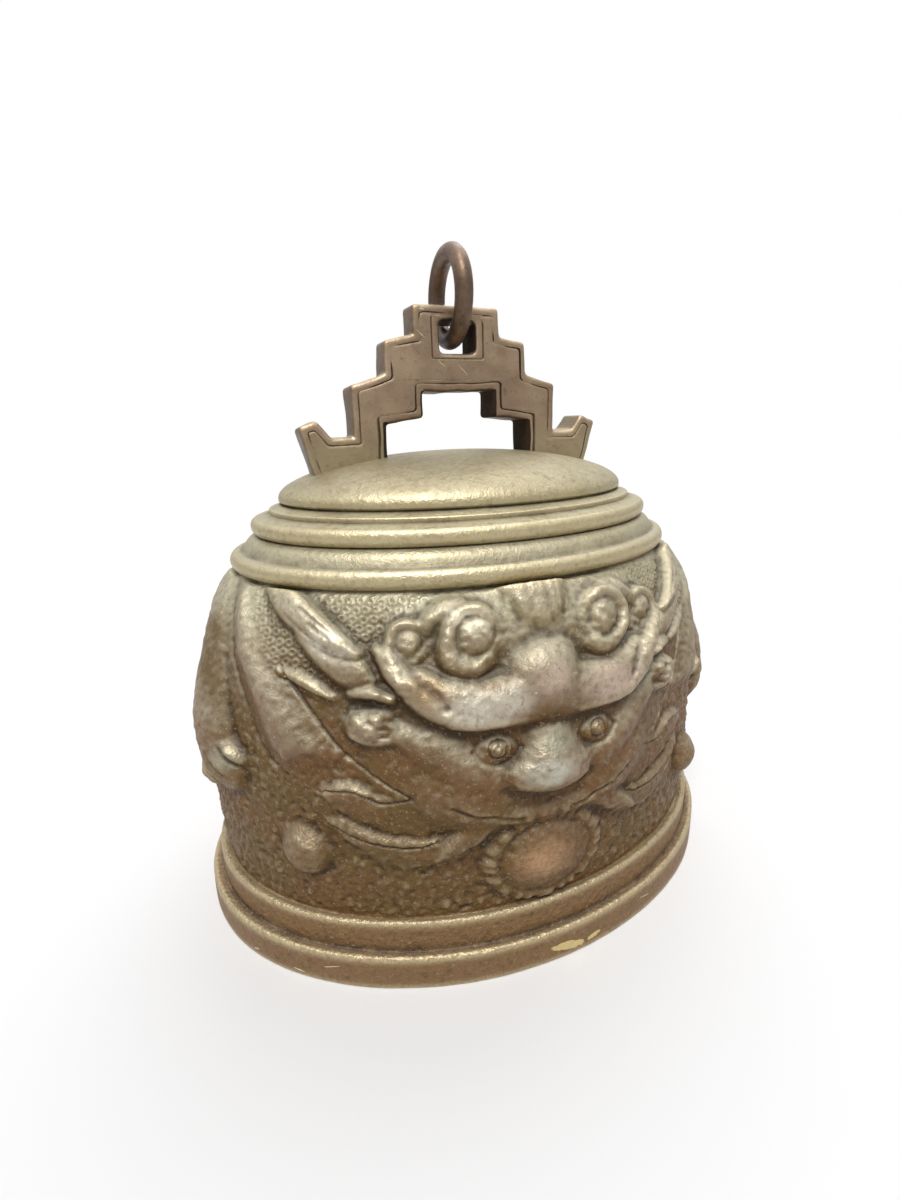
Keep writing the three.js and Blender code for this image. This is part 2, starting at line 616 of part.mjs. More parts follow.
// The shank's heights are measured from the staple's bar, which it swings about.
function clapperShank() {
  const eyeRadius = (STAPLE_ROD + CLAPPER_EYE_PLAY + CLAPPER_EYE_ROD) / 2;
  const eyeCentre = FIT_GAP - CLAPPER_EYE_PLAY / 2;
  const eye = new THREE.TorusGeometry(eyeRadius, CLAPPER_EYE_ROD / 2, ROD_SIDES, TURNED_SEGMENTS)
    .rotateY(Math.PI / 2)
    .translate(0, 0, eyeCentre);
  const shankTop = eyeCentre - eyeRadius;
  const collarFoot = BALL_FLAT + FIT_GAP - CLAPPER_REACH;
  const collarTop = collarFoot + SHANK_COLLAR_HEIGHT;
  const buttonTop = -BALL_FLAT - FIT_GAP - CLAPPER_REACH;
  const profile = [
    [0, buttonTop - BUTTON_HEIGHT],
    [BUTTON_DIAMETER / 3, buttonTop - BUTTON_HEIGHT],
    [BUTTON_DIAMETER / 2, buttonTop - BUTTON_HEIGHT / 2],
    [BUTTON_DIAMETER / 2, buttonTop],
    [SHANK_TENON_DIAMETER / 2, buttonTop],
    [SHANK_TENON_DIAMETER / 2, collarFoot],
    [SHANK_COLLAR_DIAMETER / 2, collarFoot],
    [SHANK_COLLAR_DIAMETER / 2, collarTop],
    [SHANK_FOOT_DIAMETER / 2, collarTop],
    [SHANK_TOP_DIAMETER / 2, shankTop],
    [0, shankTop],
  ].map(([radius, height]) => new THREE.Vector2(radius, height));
  return geometryOf(solidOf(turned(profile, TURNED_SEGMENTS)).add(solidOf(eye)));
}

// A ball with a flat above and below, bored for the shank's tenon.
function clapperBall() {
  const bore = SHANK_TENON_DIAMETER / 2 + FIT_GAP;
  const flatAngle = Math.asin(BALL_FLAT / BALL_RADIUS);
  const profile = [new THREE.Vector2(bore, -BALL_FLAT)];
  for (let i = 0; i <= CURVE_POINTS; i++) {
    const angle = flatAngle * ((2 * i) / CURVE_POINTS - 1);
    profile.push(new THREE.Vector2(BALL_RADIUS * Math.cos(angle), BALL_RADIUS * Math.sin(angle)));
  }
  profile.push(new THREE.Vector2(bore, BALL_FLAT), profile[0].clone());
  return turned(profile, TURNED_SEGMENTS);
}

// Assembly

const agedBronze = { color: 0x7d6a4c, roughness: 0.5, metalness: 0.85 };
const crownBronze = { color: 0x85735b, roughness: 0.45, metalness: 0.85 };
const rubbedBronze = { color: 0x8c7460, roughness: 0.35, metalness: 0.9 };
const forgedIron = { color: 0x3f3a35, roughness: 0.7, metalness: 0.8 };

function piece(name, geometry, finish) {
  const mesh = new THREE.Mesh(geometry, new THREE.MeshStandardMaterial(finish));
  mesh.name = name;
  return mesh;
}

const bell = new THREE.Group();
bell.add(piece("bell_shell", bellShell(), agedBronze));
bell.add(piece("stepped_crown", steppedCrown(), crownBronze));
bell.add(piece("crown_rove_left", crownRove(-1), agedBronze));
bell.add(piece("crown_rove_right", crownRove(1), agedBronze));
bell.add(piece("clapper_staple", clapperStaple(), forgedIron));

const ring = piece("suspension_ring", suspensionRing(), rubbedBronze);
ring.position.z = DOME_TOP + RING_CENTRE;
bell.add(ring);

const clapper = new THREE.Group();
clapper.position.z = STAPLE_BAR;
clapper.add(piece("clapper_shank", clapperShank(), forgedIron));
const ball = piece("clapper_ball", clapperBall(), forgedIron);
ball.position.z = BALL_CENTRE - STAPLE_BAR;
clapper.add(ball);
bell.add(clapper);

export default bell;
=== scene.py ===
"""A bronze temple bell: the fine surface, finish, floor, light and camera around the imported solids.

Sizes are millimetres in the frame's own axes: X along the oval and the crown, the mask looks along -Y, Z up.
"""
import math

import bpy
import numpy as np
from mathutils import Matrix, Vector
from mathutils.geometry import tessellate_polygon


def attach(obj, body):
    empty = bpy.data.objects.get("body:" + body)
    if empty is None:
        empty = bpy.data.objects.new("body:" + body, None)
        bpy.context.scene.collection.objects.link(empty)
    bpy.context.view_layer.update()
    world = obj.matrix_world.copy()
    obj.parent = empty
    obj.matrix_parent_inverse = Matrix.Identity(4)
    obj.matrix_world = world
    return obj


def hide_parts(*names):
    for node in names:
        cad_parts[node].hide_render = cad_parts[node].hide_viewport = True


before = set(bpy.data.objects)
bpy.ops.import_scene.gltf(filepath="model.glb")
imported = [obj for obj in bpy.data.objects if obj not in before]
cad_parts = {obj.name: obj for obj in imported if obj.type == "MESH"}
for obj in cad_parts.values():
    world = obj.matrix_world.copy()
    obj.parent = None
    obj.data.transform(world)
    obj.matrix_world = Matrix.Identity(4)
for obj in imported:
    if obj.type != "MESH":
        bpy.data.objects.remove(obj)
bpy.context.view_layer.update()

MM = 0.001

# The shell's plan and heights, as the solids have them
RIM_HALF_LENGTH = 105.0
PLAN_RATIO = 80 / 105
RIM_INNER_HALF_LENGTH = 92.0
RIM_ROUND = 1.0
LOWER_BAND_TOP = 12.0
UPPER_BAND_TOP = 22.5
UPPER_BAND_HALF_LENGTH = 100.8
BAND_ROUND, BAND_TAPER, BAND_CREASE = 1.8, 0.2, (0.5, 0.3)
WALL_FOOT = (97.0, 22.5)
WALL_BELLY = (99.5, 60.5)
WALL_SHOULDER = (97.5, 104.5)
WALL_TOP = (79.5, 123.5)
WALL_THICKNESS, WALL_CREASE = 7.0, 0.4
LOWER_BEAD_HALF_LENGTH = 81.5
COVE_FOOT = 130.0
MIDDLE_BEAD_HALF_LENGTH = 73.5
MIDDLE_BEAD_FOOT = 135.0
FILLET_FOOT = 140.3
FILLET_HALF_LENGTH = 67.0
LEDGE_FOOT, LEDGE_ROUND = 143.0, (0.6, 0.5)
LIP_FOOT, LIP_TOP = 144.4, 145.2
DOME_FOOT = 146.0
DOME_HALF_LENGTH = 63.5
DOME_CAP_HALF_LENGTH = 35.0
DOME_SPRING = 6.8
DOME_TOP = 159.5
CEILING = 146.0
CEILING_HALF_LENGTH = 58.0
UNDERCUT = 1.2
POLE_HALF_LENGTH = 0.5

# Mesh density, and the share, wavelength and seed of the mouldings' unevenness
WALL_COLUMNS = 1216
WALL_ROWS = 236
COLUMN_STEP = 4
TURNED_UNEVENNESS = ((0.0012, 40, 8), (0.0005, 9, 9))

# The crown's plate, with heights above the dome's top
CROWN_HALF_OUTLINE = [
    (15.3, 45.6), (15.3, 36.6), (25.5, 34.8), (25.5, 24.7), (37.6, 21.2), (37.6, 5.4), (44.8, 5.4),
    (49.2, 11.0), (55.4, 8.7), (50.6, -10.5), (26.6, -10.5), (26.6, 9.3), (13.2, 10.9), (13.2, 19.2),
]
CROWN_PLATE, CROWN_CORNER, CROWN_SPAN = 13.0, 1.3, 2.5
TENON_CENTRE, TENON_HALF_LENGTH, TENON_HALF_WIDTH, TENON_CORNER = 38.6, 6.5, 4.0, 1.2
TENON_ROOT = DOME_TOP - 8
RIVET_TOP, RIVET_BOTTOM, RIVET_SPREAD = 142.9, 139.9, 2.0

# The crown's eye and the line that frames it: half width, bottom, top and corner
EYE = (6.4, 190.58, 200.6, 2.0)
EYE_FRAME = (9.1, 188.9, 202.0, 0.6)

# The plate's edge from its side in over the face: inset, depth under the face, and how proud it is
CROWN_EDGE = [
    (0.0, 1.5, 0.5), (0.12, 0.85, 0.9), (0.45, 0.38, 1.0), (0.95, 0.12, 0.6), (1.5, 0.0, 0.2),
    (2.0, 0.0, 0.0), (2.25, 0.12, -0.6), (2.45, 0.34, -1.3), (2.65, 0.12, -0.6), (2.9, -0.04, 0.25),
    (3.6, -0.05, 0.1),
]
# The plate's unevenness as (depth, wavelength), along its edge and over its face, and its line's wear
EDGE_FINE, EDGE_SLOW, FACE_SLOW, WEAR_WAVELENGTH = (0.16, 9), (0.2, 30), (0.1, 16), 11
# The eye's frame line and edge: which loop, how far it is grown, depth and how proud it is
EYE_EDGE = [
    (EYE_FRAME, 0.5, -0.05, 0.1), (EYE_FRAME, 0.2, 0.08, -0.4), (EYE_FRAME, 0.0, 0.24, -0.9),
    (EYE_FRAME, -0.2, 0.08, -0.4), (EYE_FRAME, -0.5, 0.0, 0.2), (EYE, 1.2, 0.0, 0.5), (EYE, 0.6, 0.16, 1.0),
    (EYE, 0.2, 0.55, 0.8), (EYE, 0.0, 1.2, 0.2), (EYE, 0.0, CROWN_PLATE / 2, -0.6),
]

# The ring and the clapper
RING_CENTRE, RING_MEAN_RADIUS, RING_ROD, RING_SEAM = 208.48, 13.0, 6.0, 0.6
STAPLE_REACH, STAPLE_ROD, STAPLE_TOP, STAPLE_BAR, STAPLE_CORNER = 11.0, 6.0, 152.7, 126.0, 6.0
CLAPPER_EYE, CLAPPER_EYE_RADIUS, CLAPPER_EYE_ROD = 125.1, 6.7, 5.0
STEM_FOOT_RADIUS, STEM_TOP_RADIUS = 4.4, 3.2
BALL_CENTRE, BALL_RADIUS, BALL_FLAT, BALL_BORE, BALL_PLAY = 24.818, 15.0, 13.518, 3.3, 0.3

# The mask's centre line stands a little to the left of the crown's; the curls' and the pearl's shifts
# take over between two heights
FACE_SHIFT = -4.0
CURL_SHIFT, CURL_HEIGHTS = -1.5, (102, 113)
PEARL_SHIFT, PEARL_HEIGHTS = -2.8, (46, 62)

# The casting's surface: how far its carving strays and is softened, and its unevenness
HAND_STRAY, HAND_WAVELENGTH = 0.5, 45
FORM_SOFTNESS, LINE_SOFTNESS = 0.6, 0.18
FOOT_FADE, TOP_FADE = 1.5, 1.2
SWELL_DEPTH, SWELL_WAVELENGTH = 0.1, 14
GRAIN_SIZE, GRAIN_DEPTH, PEBBLE_DEPTH = 0.66, 0.07, 0.15
PEBBLED_HEIGHTS, PEBBLED_RELIEF = (60, 95), (0.4, 1.4)

# How proud a point is: the reach of its surroundings and the height that counts as one
NEAR_REACH, NEAR_HEIGHT = 1.5, 0.6
BROAD_REACH, BROAD_HEIGHT = 6, 2.5
PROFILE_REACH, PROFILE_HEIGHT = 2.2, 0.8
PROUD_LIMIT = 1.5

# Where the casting came out rough: place, reach and depth
ROUGH_SPOTS = [((48.5, 90), (7, 6), 0.4), ((37, 102), (7, 7), 0.3), ((46, 98), (6, 2.5), 0.25),
               ((12, 74), (9, 5), 0.15), ((22, 110), (14, 9), 0.2), ((24, 92), (12, 5), 0.12)]


# Curves and numbers

def smooth(value, start, end):
    """A soft step from 0 at start to 1 at end."""
    t = np.clip((value - start) / (end - start), 0, 1)
    return t * t * (3 - 2 * t)


def quarter_round(value):
    """1 at 0, falling to 0 at 1 along a quarter of a circle."""
    return np.sqrt(1 - np.clip(value, 0, 1) ** 2)


def trough(distance, half_width):
    """1 on a line, falling to 0 at its half width."""
    return np.clip(1 - (distance / half_width) ** 2, 0, 1)


def unit(vectors):
    return vectors / np.linalg.norm(vectors, axis=-1, keepdims=True)


def run_along(line):
    """The distance along a line at each of its points."""
    return np.concatenate([[0], np.cumsum(np.linalg.norm(np.diff(line, axis=0), axis=1))])


def bezier(points, steps):
    """Points along a Bezier curve of any degree."""
    points = np.asarray(points, float)
    t = np.linspace(0, 1, steps + 1)[:, None]
    degree = len(points) - 1
    return sum(math.comb(degree, i) * t**i * (1 - t) ** (degree - i) * p for i, p in enumerate(points))


def bezier_line(start, stretches):
    """A line of Bezier stretches, each given by its points after the last one and its number of steps."""
    rows = [np.array([start], float)]
    for points, steps in stretches:
        rows.append(bezier([rows[-1][-1], *points], steps)[1:])
    return np.vstack(rows)


def spline(points, closed=False, samples=12):
    """A smooth curve through points, whose rows may carry more values than a place."""
    p = np.asarray(points, float)
    if closed:
        p = np.vstack([p[-1], p, p[0], p[1]])
    else:
        p = np.vstack([2 * p[0] - p[1], p, 2 * p[-1] - p[-2]])
    t = np.linspace(0, 1, samples, endpoint=False)[:, None]
    rows = []
    for a, b, c, d in zip(p, p[1:], p[2:], p[3:]):
        bend = 2 * a - 5 * b + 4 * c - d
        twist = 3 * b - a - 3 * c + d
        rows.append(b + 0.5 * ((c - a) * t + bend * t**2 + twist * t**3))
    if not closed:
        rows.append(p[-2][None])
    return np.vstack(rows)


def wobble(points, wavelength, seed, waves=24):
    """Soft unevenness of about -1 to 1, as a fixed sum of waves through space."""
    rng = np.random.default_rng(seed)
    direction = unit(rng.normal(size=(waves, 3)))
    count = 2 * np.pi / (wavelength * rng.uniform(0.6, 1.6, size=waves))
    phase = rng.uniform(0, 2 * np.pi, size=waves)
    total = np.zeros(points.shape[:-1])
    for d, k, p in zip(direction, count, phase):
        total += np.sin(points @ (d * k) + p)
    return total / math.sqrt(waves)


def blurred(field, sigma):
    """A soft copy of a wall grid; columns run round and meet, rows end at the wall's edges."""
    reach = int(math.ceil(2.5 * sigma))
    steps = np.arange(-reach, reach + 1)
    weights = np.exp(-0.5 * (steps / sigma) ** 2)
    weights /= weights.sum()
    across = sum(w * np.roll(field, k, axis=1) for w, k in zip(weights, steps))
    padded = np.pad(across, ((reach, reach), (0, 0)), mode="edge")
    return sum(w * padded[reach + k:reach + k + len(field)] for w, k in zip(weights, steps))


# Relief: heights over the wall, s being the distance from the mask's centre line and z the height

def to_path(s, z, path):
    """Distance to a curve, and the further values of its nearest point."""
    best = np.full(s.shape, np.inf)
    extra = np.zeros(s.shape + (path.shape[1] - 2,))
    for a, b in zip(path, path[1:]):
        run, rise = b[0] - a[0], b[1] - a[1]
        t = np.clip(((s - a[0]) * run + (z - a[1]) * rise) / (run * run + rise * rise + 1e-12), 0, 1)
        distance = np.hypot(s - a[0] - t * run, z - a[1] - t * rise)
        nearer = distance < best
        best = np.where(nearer, distance, best)
        extra = np.where(nearer[..., None], a[2:] + t[..., None] * (b[2:] - a[2:]), extra)
    return best, extra


def inside(s, z, outline):
    """True where a point lies inside a closed outline."""
    odd = np.zeros(s.shape, bool)
    for a, b in zip(outline, np.roll(outline, -1, axis=0)):
        if a[1] == b[1]:
            continue
        at = a[0] + (z - a[1]) * (b[0] - a[0]) / (b[1] - a[1])
        odd ^= ((a[1] > z) != (b[1] > z)) & (s < at)
    return odd


class Relief:
    """A grid of heights that forms are joined to and lines are cut into."""

    def __init__(self, s, z, along):
        self.s = s
        self.z = z
        self.along = along
        self.height = np.zeros(s.shape)

    def window(self, points, reach):
        """The part of the grid within reach of some points, with its s and z; each row has one z."""
        low = np.min(points, axis=0) - reach
        high = np.max(points, axis=0) + reach
        rows = np.where((self.z[:, 0] >= low[1]) & (self.z[:, 0] <= high[1]))[0]
        rows = slice(rows[0], rows[-1] + 1)
        near = (self.s[rows] >= low[0]) & (self.s[rows] <= high[0])
        part = rows, np.where(near.any(0))[0]
        return part, self.s[part], self.z[part]

    def around(self, centre, reach):
        """The part of the grid about a centre, with its distances from it along s and z."""
        part, s, z = self.window([centre], reach)
        return part, s - centre[0], z - centre[1]

    def join(self, part, within, height, blend):
        """Joins a form, where it lies, to what is there with a soft crease."""
        old = self.height[part]
        new = np.where(within, height, old - 50)
        m = np.clip(0.5 + 0.5 * (new - old) / blend, 0, 1)
        self.height[part] = old * (1 - m) + new * m + blend * m * (1 - m)

    def dome(self, centre, radii, height, tilt=0.0, power=2.0, soft=0.5, blend=0.8):
        """A round or oval swelling; soft is 0.5 for a half ball and more for a gentler edge."""
        part, s, z = self.around(centre, max(radii))
        c, n = math.cos(math.radians(tilt)), math.sin(math.radians(tilt))
        q = (np.abs(s * c + z * n) / radii[0]) ** power + (np.abs(z * c - s * n) / radii[1]) ** power
        self.join(part, q < 1, height * np.clip(1 - q, 0, 1) ** soft, blend)

    def ridge(self, points, blend=0.8, power=2.0, soft=0.5):
        """A rounded ridge along (s, z, half width, height) points."""
        path = spline(points)
        part, s, z = self.window(path[:, :2], path[:, 2].max())
        distance, values = to_path(s, z, path)
        q = distance / np.maximum(values[..., 0], 1e-3)
        self.join(part, q < 1, values[..., 1] * (1 - np.clip(q, 0, 1) ** power) ** soft, blend)

    def plate(self, points, height, edge, crown=0.0, blend=0.6, gentle=False):
        """A raised field inside a closed outline, with a rounded or gentle edge and a slight crown."""
        outline = spline(points, closed=True)
        part, s, z = self.window(outline, 1)
        distance, _ = to_path(s, z, np.vstack([outline, outline[:1]]))
        edge_shape = smooth(distance, 0, edge) if gentle else quarter_round(1 - distance / edge)
        shape = height * edge_shape + crown * np.clip(distance / (3 * edge), 0, 1)
        self.join(part, inside(s, z, outline), shape, blend)

    def groove(self, points, half_width, depth):
        """An incised line."""
        path = spline(points)
        part, s, z = self.window(path, half_width)
        distance, _ = to_path(s, z, path)
        self.height[part] -= depth * trough(distance, half_width)


# The forms of the mask, each joined to a relief r

def face_mass(r):
    """The broad mass that the face is carved from, higher over the face than under the curls."""
    face = np.clip(1 - (r.s / 52) ** 2.6 - (np.abs(r.z - 80) / 30) ** 2.6, 0, 1)
    scalp = np.clip(1 - (r.s / 46) ** 3 - (np.abs(r.z - 107) / 19) ** 3, 0, 1)
    r.height = r.height + np.maximum(5 * face**0.8, 4 * scalp**0.9)


def wing(r):
    """The wing's broad smooth field."""
    r.plate([(86, 127), (96, 124), (98, 113), (95, 103), (92, 97.5), (89, 90), (86, 80.5), (81.5, 74.5),
             (76, 71), (69.5, 74), (62.5, 77), (57.8, 80), (63, 87), (68.3, 95), (73, 103), (80, 114)],
            height=3.6, edge=10, crown=0.8, blend=2, gentle=True)


def arm(r):
    """The arm and its closed hand at the bell's narrow end."""
    r.ridge([(112, 126, 9, 2.2), (112, 112, 11, 2.8), (112, 100, 12, 3.4), (112, 90, 13, 4.8),
             (111, 80, 13.5, 6.6), (107, 71, 11.5, 6.4)], blend=2, soft=0.8)
    r.dome((103.6, 67.8), (9.8, 8.8), 5.2, tilt=30, blend=1.6, soft=0.7)
    fingers = (
        ((100.6, 76.2), (97.4, 74.6), (94, 71.6), 5.2),
        ((105.4, 74), (102, 70.4), (98.2, 68.2), 6.2),
        ((110.4, 70.4), (106.8, 66.6), (102, 64), 6.6),
        ((115.6, 65.2), (111.6, 62.2), (107, 60), 6.2),
    )
    for knuckle, middle, tip, height in fingers:
        r.ridge([(*knuckle, 1.3, height - 1.3), (*middle, 2.1, height), (*tip, 1.2, height - 1.8)],
                blend=0.9, soft=0.66)


def flames(r):
    """The horn leaf, its lobes and the cloud rolls behind the brow."""
    r.plate([(70.5, 112), (65.4, 106.8), (60.6, 103), (55.6, 99.6), (50.6, 98.8), (46, 99.4), (44.4, 101.6),
             (46.4, 105), (49.4, 107.8), (55, 109), (61, 110.4), (66.4, 113.4)],
            height=3.6, edge=3.6, crown=0.8, blend=1)
    r.ridge([(78, 125.4, 3.8, 2.6), (72.6, 121.2, 5.2, 3.8), (66.6, 116.8, 5.2, 4.4), (60.8, 113, 4.2, 4.8),
             (55.6, 110.2, 2.7, 5), (50.4, 108.2, 0.9, 4.6)], power=4, blend=0.5, soft=0.6)
    r.ridge([(75, 102.6, 0.8, 1.8), (69, 101, 2.2, 2.4), (63.5, 98.2, 2.2, 2.4), (59.5, 96.4, 1, 1.8)],
            blend=1.2, soft=0.75)
    r.ridge([(54, 97.8, 1.2, 3.2), (50, 98.4, 2.2, 5), (46, 98.4, 2.4, 5.8), (41, 97.2, 2, 6)],
            blend=1.1, soft=0.7)
    r.dome((48.6, 89.4), (8.8, 5.6), 4.8, tilt=-8, soft=0.8, blend=2.2)
    for s, z, size in ((51.6, 91, 3.2), (46.4, 91.4, 3.4), (48.6, 87.8, 3.8)):
        r.dome((s, z), (size, 0.8 * size), 5.2, blend=1.8, soft=0.75)
    r.ridge([(54.5, 86.6, 1.4, 3.4), (49.5, 84.9, 1.9, 4.1), (43.4, 85.4, 1.6, 4.4)], blend=1.4, soft=0.7)


def leaves(r):
    """Two leaves at the jaw's side, each with a rolled upper edge, and the hair down to the pearl."""
    r.plate([(70.5, 66.8), (66, 68.2), (60.5, 71), (56.8, 71.6), (52, 70), (47.5, 67.8), (38.5, 66.8),
             (34, 61), (35, 53.6), (43, 54.6), (50, 56.4), (56, 59.2), (61, 61.8), (66, 65.4)],
            height=1.2, edge=2.6, crown=0.6, blend=0.9)
    r.ridge([(65.5, 67.9, 0.7, 1.5), (60, 69.4, 1.1, 1.9), (56, 69.6, 1.2, 2), (51.6, 68, 1.1, 2.1),
             (47.4, 66.5, 0.9, 2.1), (41.5, 66.6, 0.7, 2.1)], blend=1.2, soft=0.8)
    r.plate([(66.5, 58.4), (60.2, 60.2), (56.4, 59.2), (51.2, 56.4), (45.4, 54.8), (39, 53.6), (33, 52.8),
             (27, 52), (24, 47), (29.4, 44.3), (37.4, 42.8), (43.6, 41.9), (49.6, 43.8), (54.3, 47),
             (59, 51.2), (63, 55.2)], height=1.4, edge=2.4, crown=0.6, blend=0.9)
    r.ridge([(60.5, 57.4, 0.8, 1.8), (56, 56, 1.1, 2.1), (51, 53.8, 1.3, 2.3), (45.4, 52.4, 1.3, 2.3),
             (39.5, 51.7, 1, 2.2), (34, 51.8, 0.7, 2.1)], blend=1.1, soft=0.75)
    for k in range(4):
        r.ridge([(13 + 3.5 * k, 59 - 0.8 * k, 1.4, 3.2), (19 + 3.6 * k, 55 - 1.4 * k, 2.3, 3.8),
                 (24 + 3.4 * k, 49.5 - 1.2 * k, 1.4, 2.8)], blend=1.4)


def tuft(r):
    """The fluted tuft over the forehead."""
    r.plate([(-13, 130), (-12.5, 119), (-8, 111.6), (0, 109.2), (8, 111.6), (12.5, 119), (13, 130)],
            height=5.4, edge=5.5, crown=0.4, blend=2.4, gentle=True)


def curl(r, centre, size, rise, boss):
    """A broad roll of hair, lower towards the mask's middle, round a low boss set a little above its own."""
    lift = 0.14 * size
    part, s, z = r.around(centre, size)
    out = np.hypot(s, z - lift)
    across = (out - boss) / (size - lift * (z - lift) / np.maximum(out, 0.1) - boss)
    roll = 1 - 0.18 * np.abs(2 * np.clip(across, 0, 1) - 0.9) ** 2.4
    roll *= (1 - np.clip((across - 0.45) / 0.55, 0, 1) ** 2.6) ** 0.7
    roll *= 1 - 0.55 * smooth(-s / size, 0.15, 0.9)
    button = 0.78 + 0.2 * quarter_round(out / boss)
    r.join(part, across < 1, rise * np.where(across > 0, roll, button), 1)
    r.height[part] -= 0.75 * trough(out - boss, 0.9)


def small_curl(r):
    curl(r, (37, 109.8), size=7.6, rise=5, boss=3.5)


def large_curl(r):
    r.ridge([(22, 119.4, 2.4, 4.8), (27.2, 117.8, 3.8, 5.4), (31.6, 115.4, 3, 5)], blend=2.4, soft=0.8)
    curl(r, (19.8, 110.2), size=10.2, rise=7.2, boss=4.7)


def cheeks(r):
    """The cheek's roll, its round and the lower lip."""
    r.ridge([(40, 86.5, 4, 4.4), (32, 82.5, 6.5, 5.4), (25, 77.5, 8, 6.8), (17, 72.5, 6.5, 6.8)],
            blend=3.6, soft=0.85)
    r.dome((24, 66), (18, 11), 6, tilt=20, blend=3, soft=0.8)
    r.ridge([(0, 58, 3.6, 3.6), (8, 58.2, 4, 4.2), (16, 60, 3.8, 4.8), (24, 63.5, 2.6, 4.8)],
            blend=3, soft=0.75)


def brows(r):
    """A broad brow with a full lower lip, the thick roll of its tail, and the round between the brows."""
    r.ridge([(0, 95.4, 9.2, 9), (8, 94.6, 8.8, 9), (18, 94.6, 8, 9.2), (27, 96.2, 7.6, 8.8),
             (35, 100.6, 5.8, 7.6), (43, 107, 2.4, 4.8)], blend=1.4, power=2.6, soft=0.5)
    r.ridge([(26, 90.8, 3, 9.2), (20, 89.8, 3, 9.2), (14, 89.6, 2.6, 8.8), (8, 89.6, 2, 8.2)],
            blend=1.8, soft=0.6)
    r.ridge([(46, 109.6, 1.8, 4.6), (41.6, 106.4, 3.8, 7.2), (37.2, 102, 5, 8.8), (33, 97.6, 5.4, 9.8),
             (29.4, 94.2, 4.8, 9.9), (25.2, 91.6, 3.8, 9.6), (20, 90.2, 2.8, 8.8)], blend=1.5, soft=0.7)
    r.dome((0, 99.2), (12.4, 11.2), 10.3, blend=2, power=2.5, soft=0.6)


def eyes(r):
    r.dome((15.3, 81.2), (9, 6.4), 5.6, blend=1.6, soft=0.8)
    r.dome((15.3, 81.4), (6.2, 4.2), 7.2, blend=0.5, soft=0.55)


def nose(r):
    r.ridge([(0, 88, 7.2, 5.4), (0, 84, 8.6, 7.6), (0, 79.5, 11, 10.2), (0, 76, 12.8, 11.2)],
            blend=2.4, soft=0.65)
    r.dome((0, 72.6), (15.2, 6.6), 10.8, blend=2.4, power=2.5, soft=0.5)


def pearl(r):
    """The round pearl under the chin, in its scalloped frill."""
    centre, disc, frill, scallops = (0, 40.2), (15.4, 12.6), (21.4, 17.6), 22
    part, s, z = r.around(centre, frill[0] * 1.1)
    angle = np.arctan2(z / frill[1], s / frill[0])
    q = np.hypot(s / frill[0], z / frill[1]) / (1 + 0.03 * np.cos(scallops * angle))
    stray = angle + 0.05 * np.sin(5 * angle) + 0.03 * np.sin(11 * angle)
    wave = np.cos(scallops * stray)
    notch = 1.1 * np.clip(wave, 0, 1) ** 3 * smooth(q, 0.8, 0.92)
    r.join(part, q < 1, 2.4 * quarter_round((q - 0.78) / 0.22) - notch, 0.9)
    r.height[part] -= 0.45 * wave * smooth(q, 0.74, 0.84) * (1 - smooth(q, 0.95, 1.02))
    d = np.hypot(s / disc[0], z / disc[1])
    r.height[part] -= 0.9 * trough(d - 1.03, 0.06)
    r.join(part, d < 1, 2.2 * quarter_round((d - 0.75) / 0.25) + 2.8 * (1 - d**2), 0.5)


def side_ball(r):
    r.dome((74.6, 46.4), (8.9, 8.7), 5.4, blend=2.4, soft=0.8)


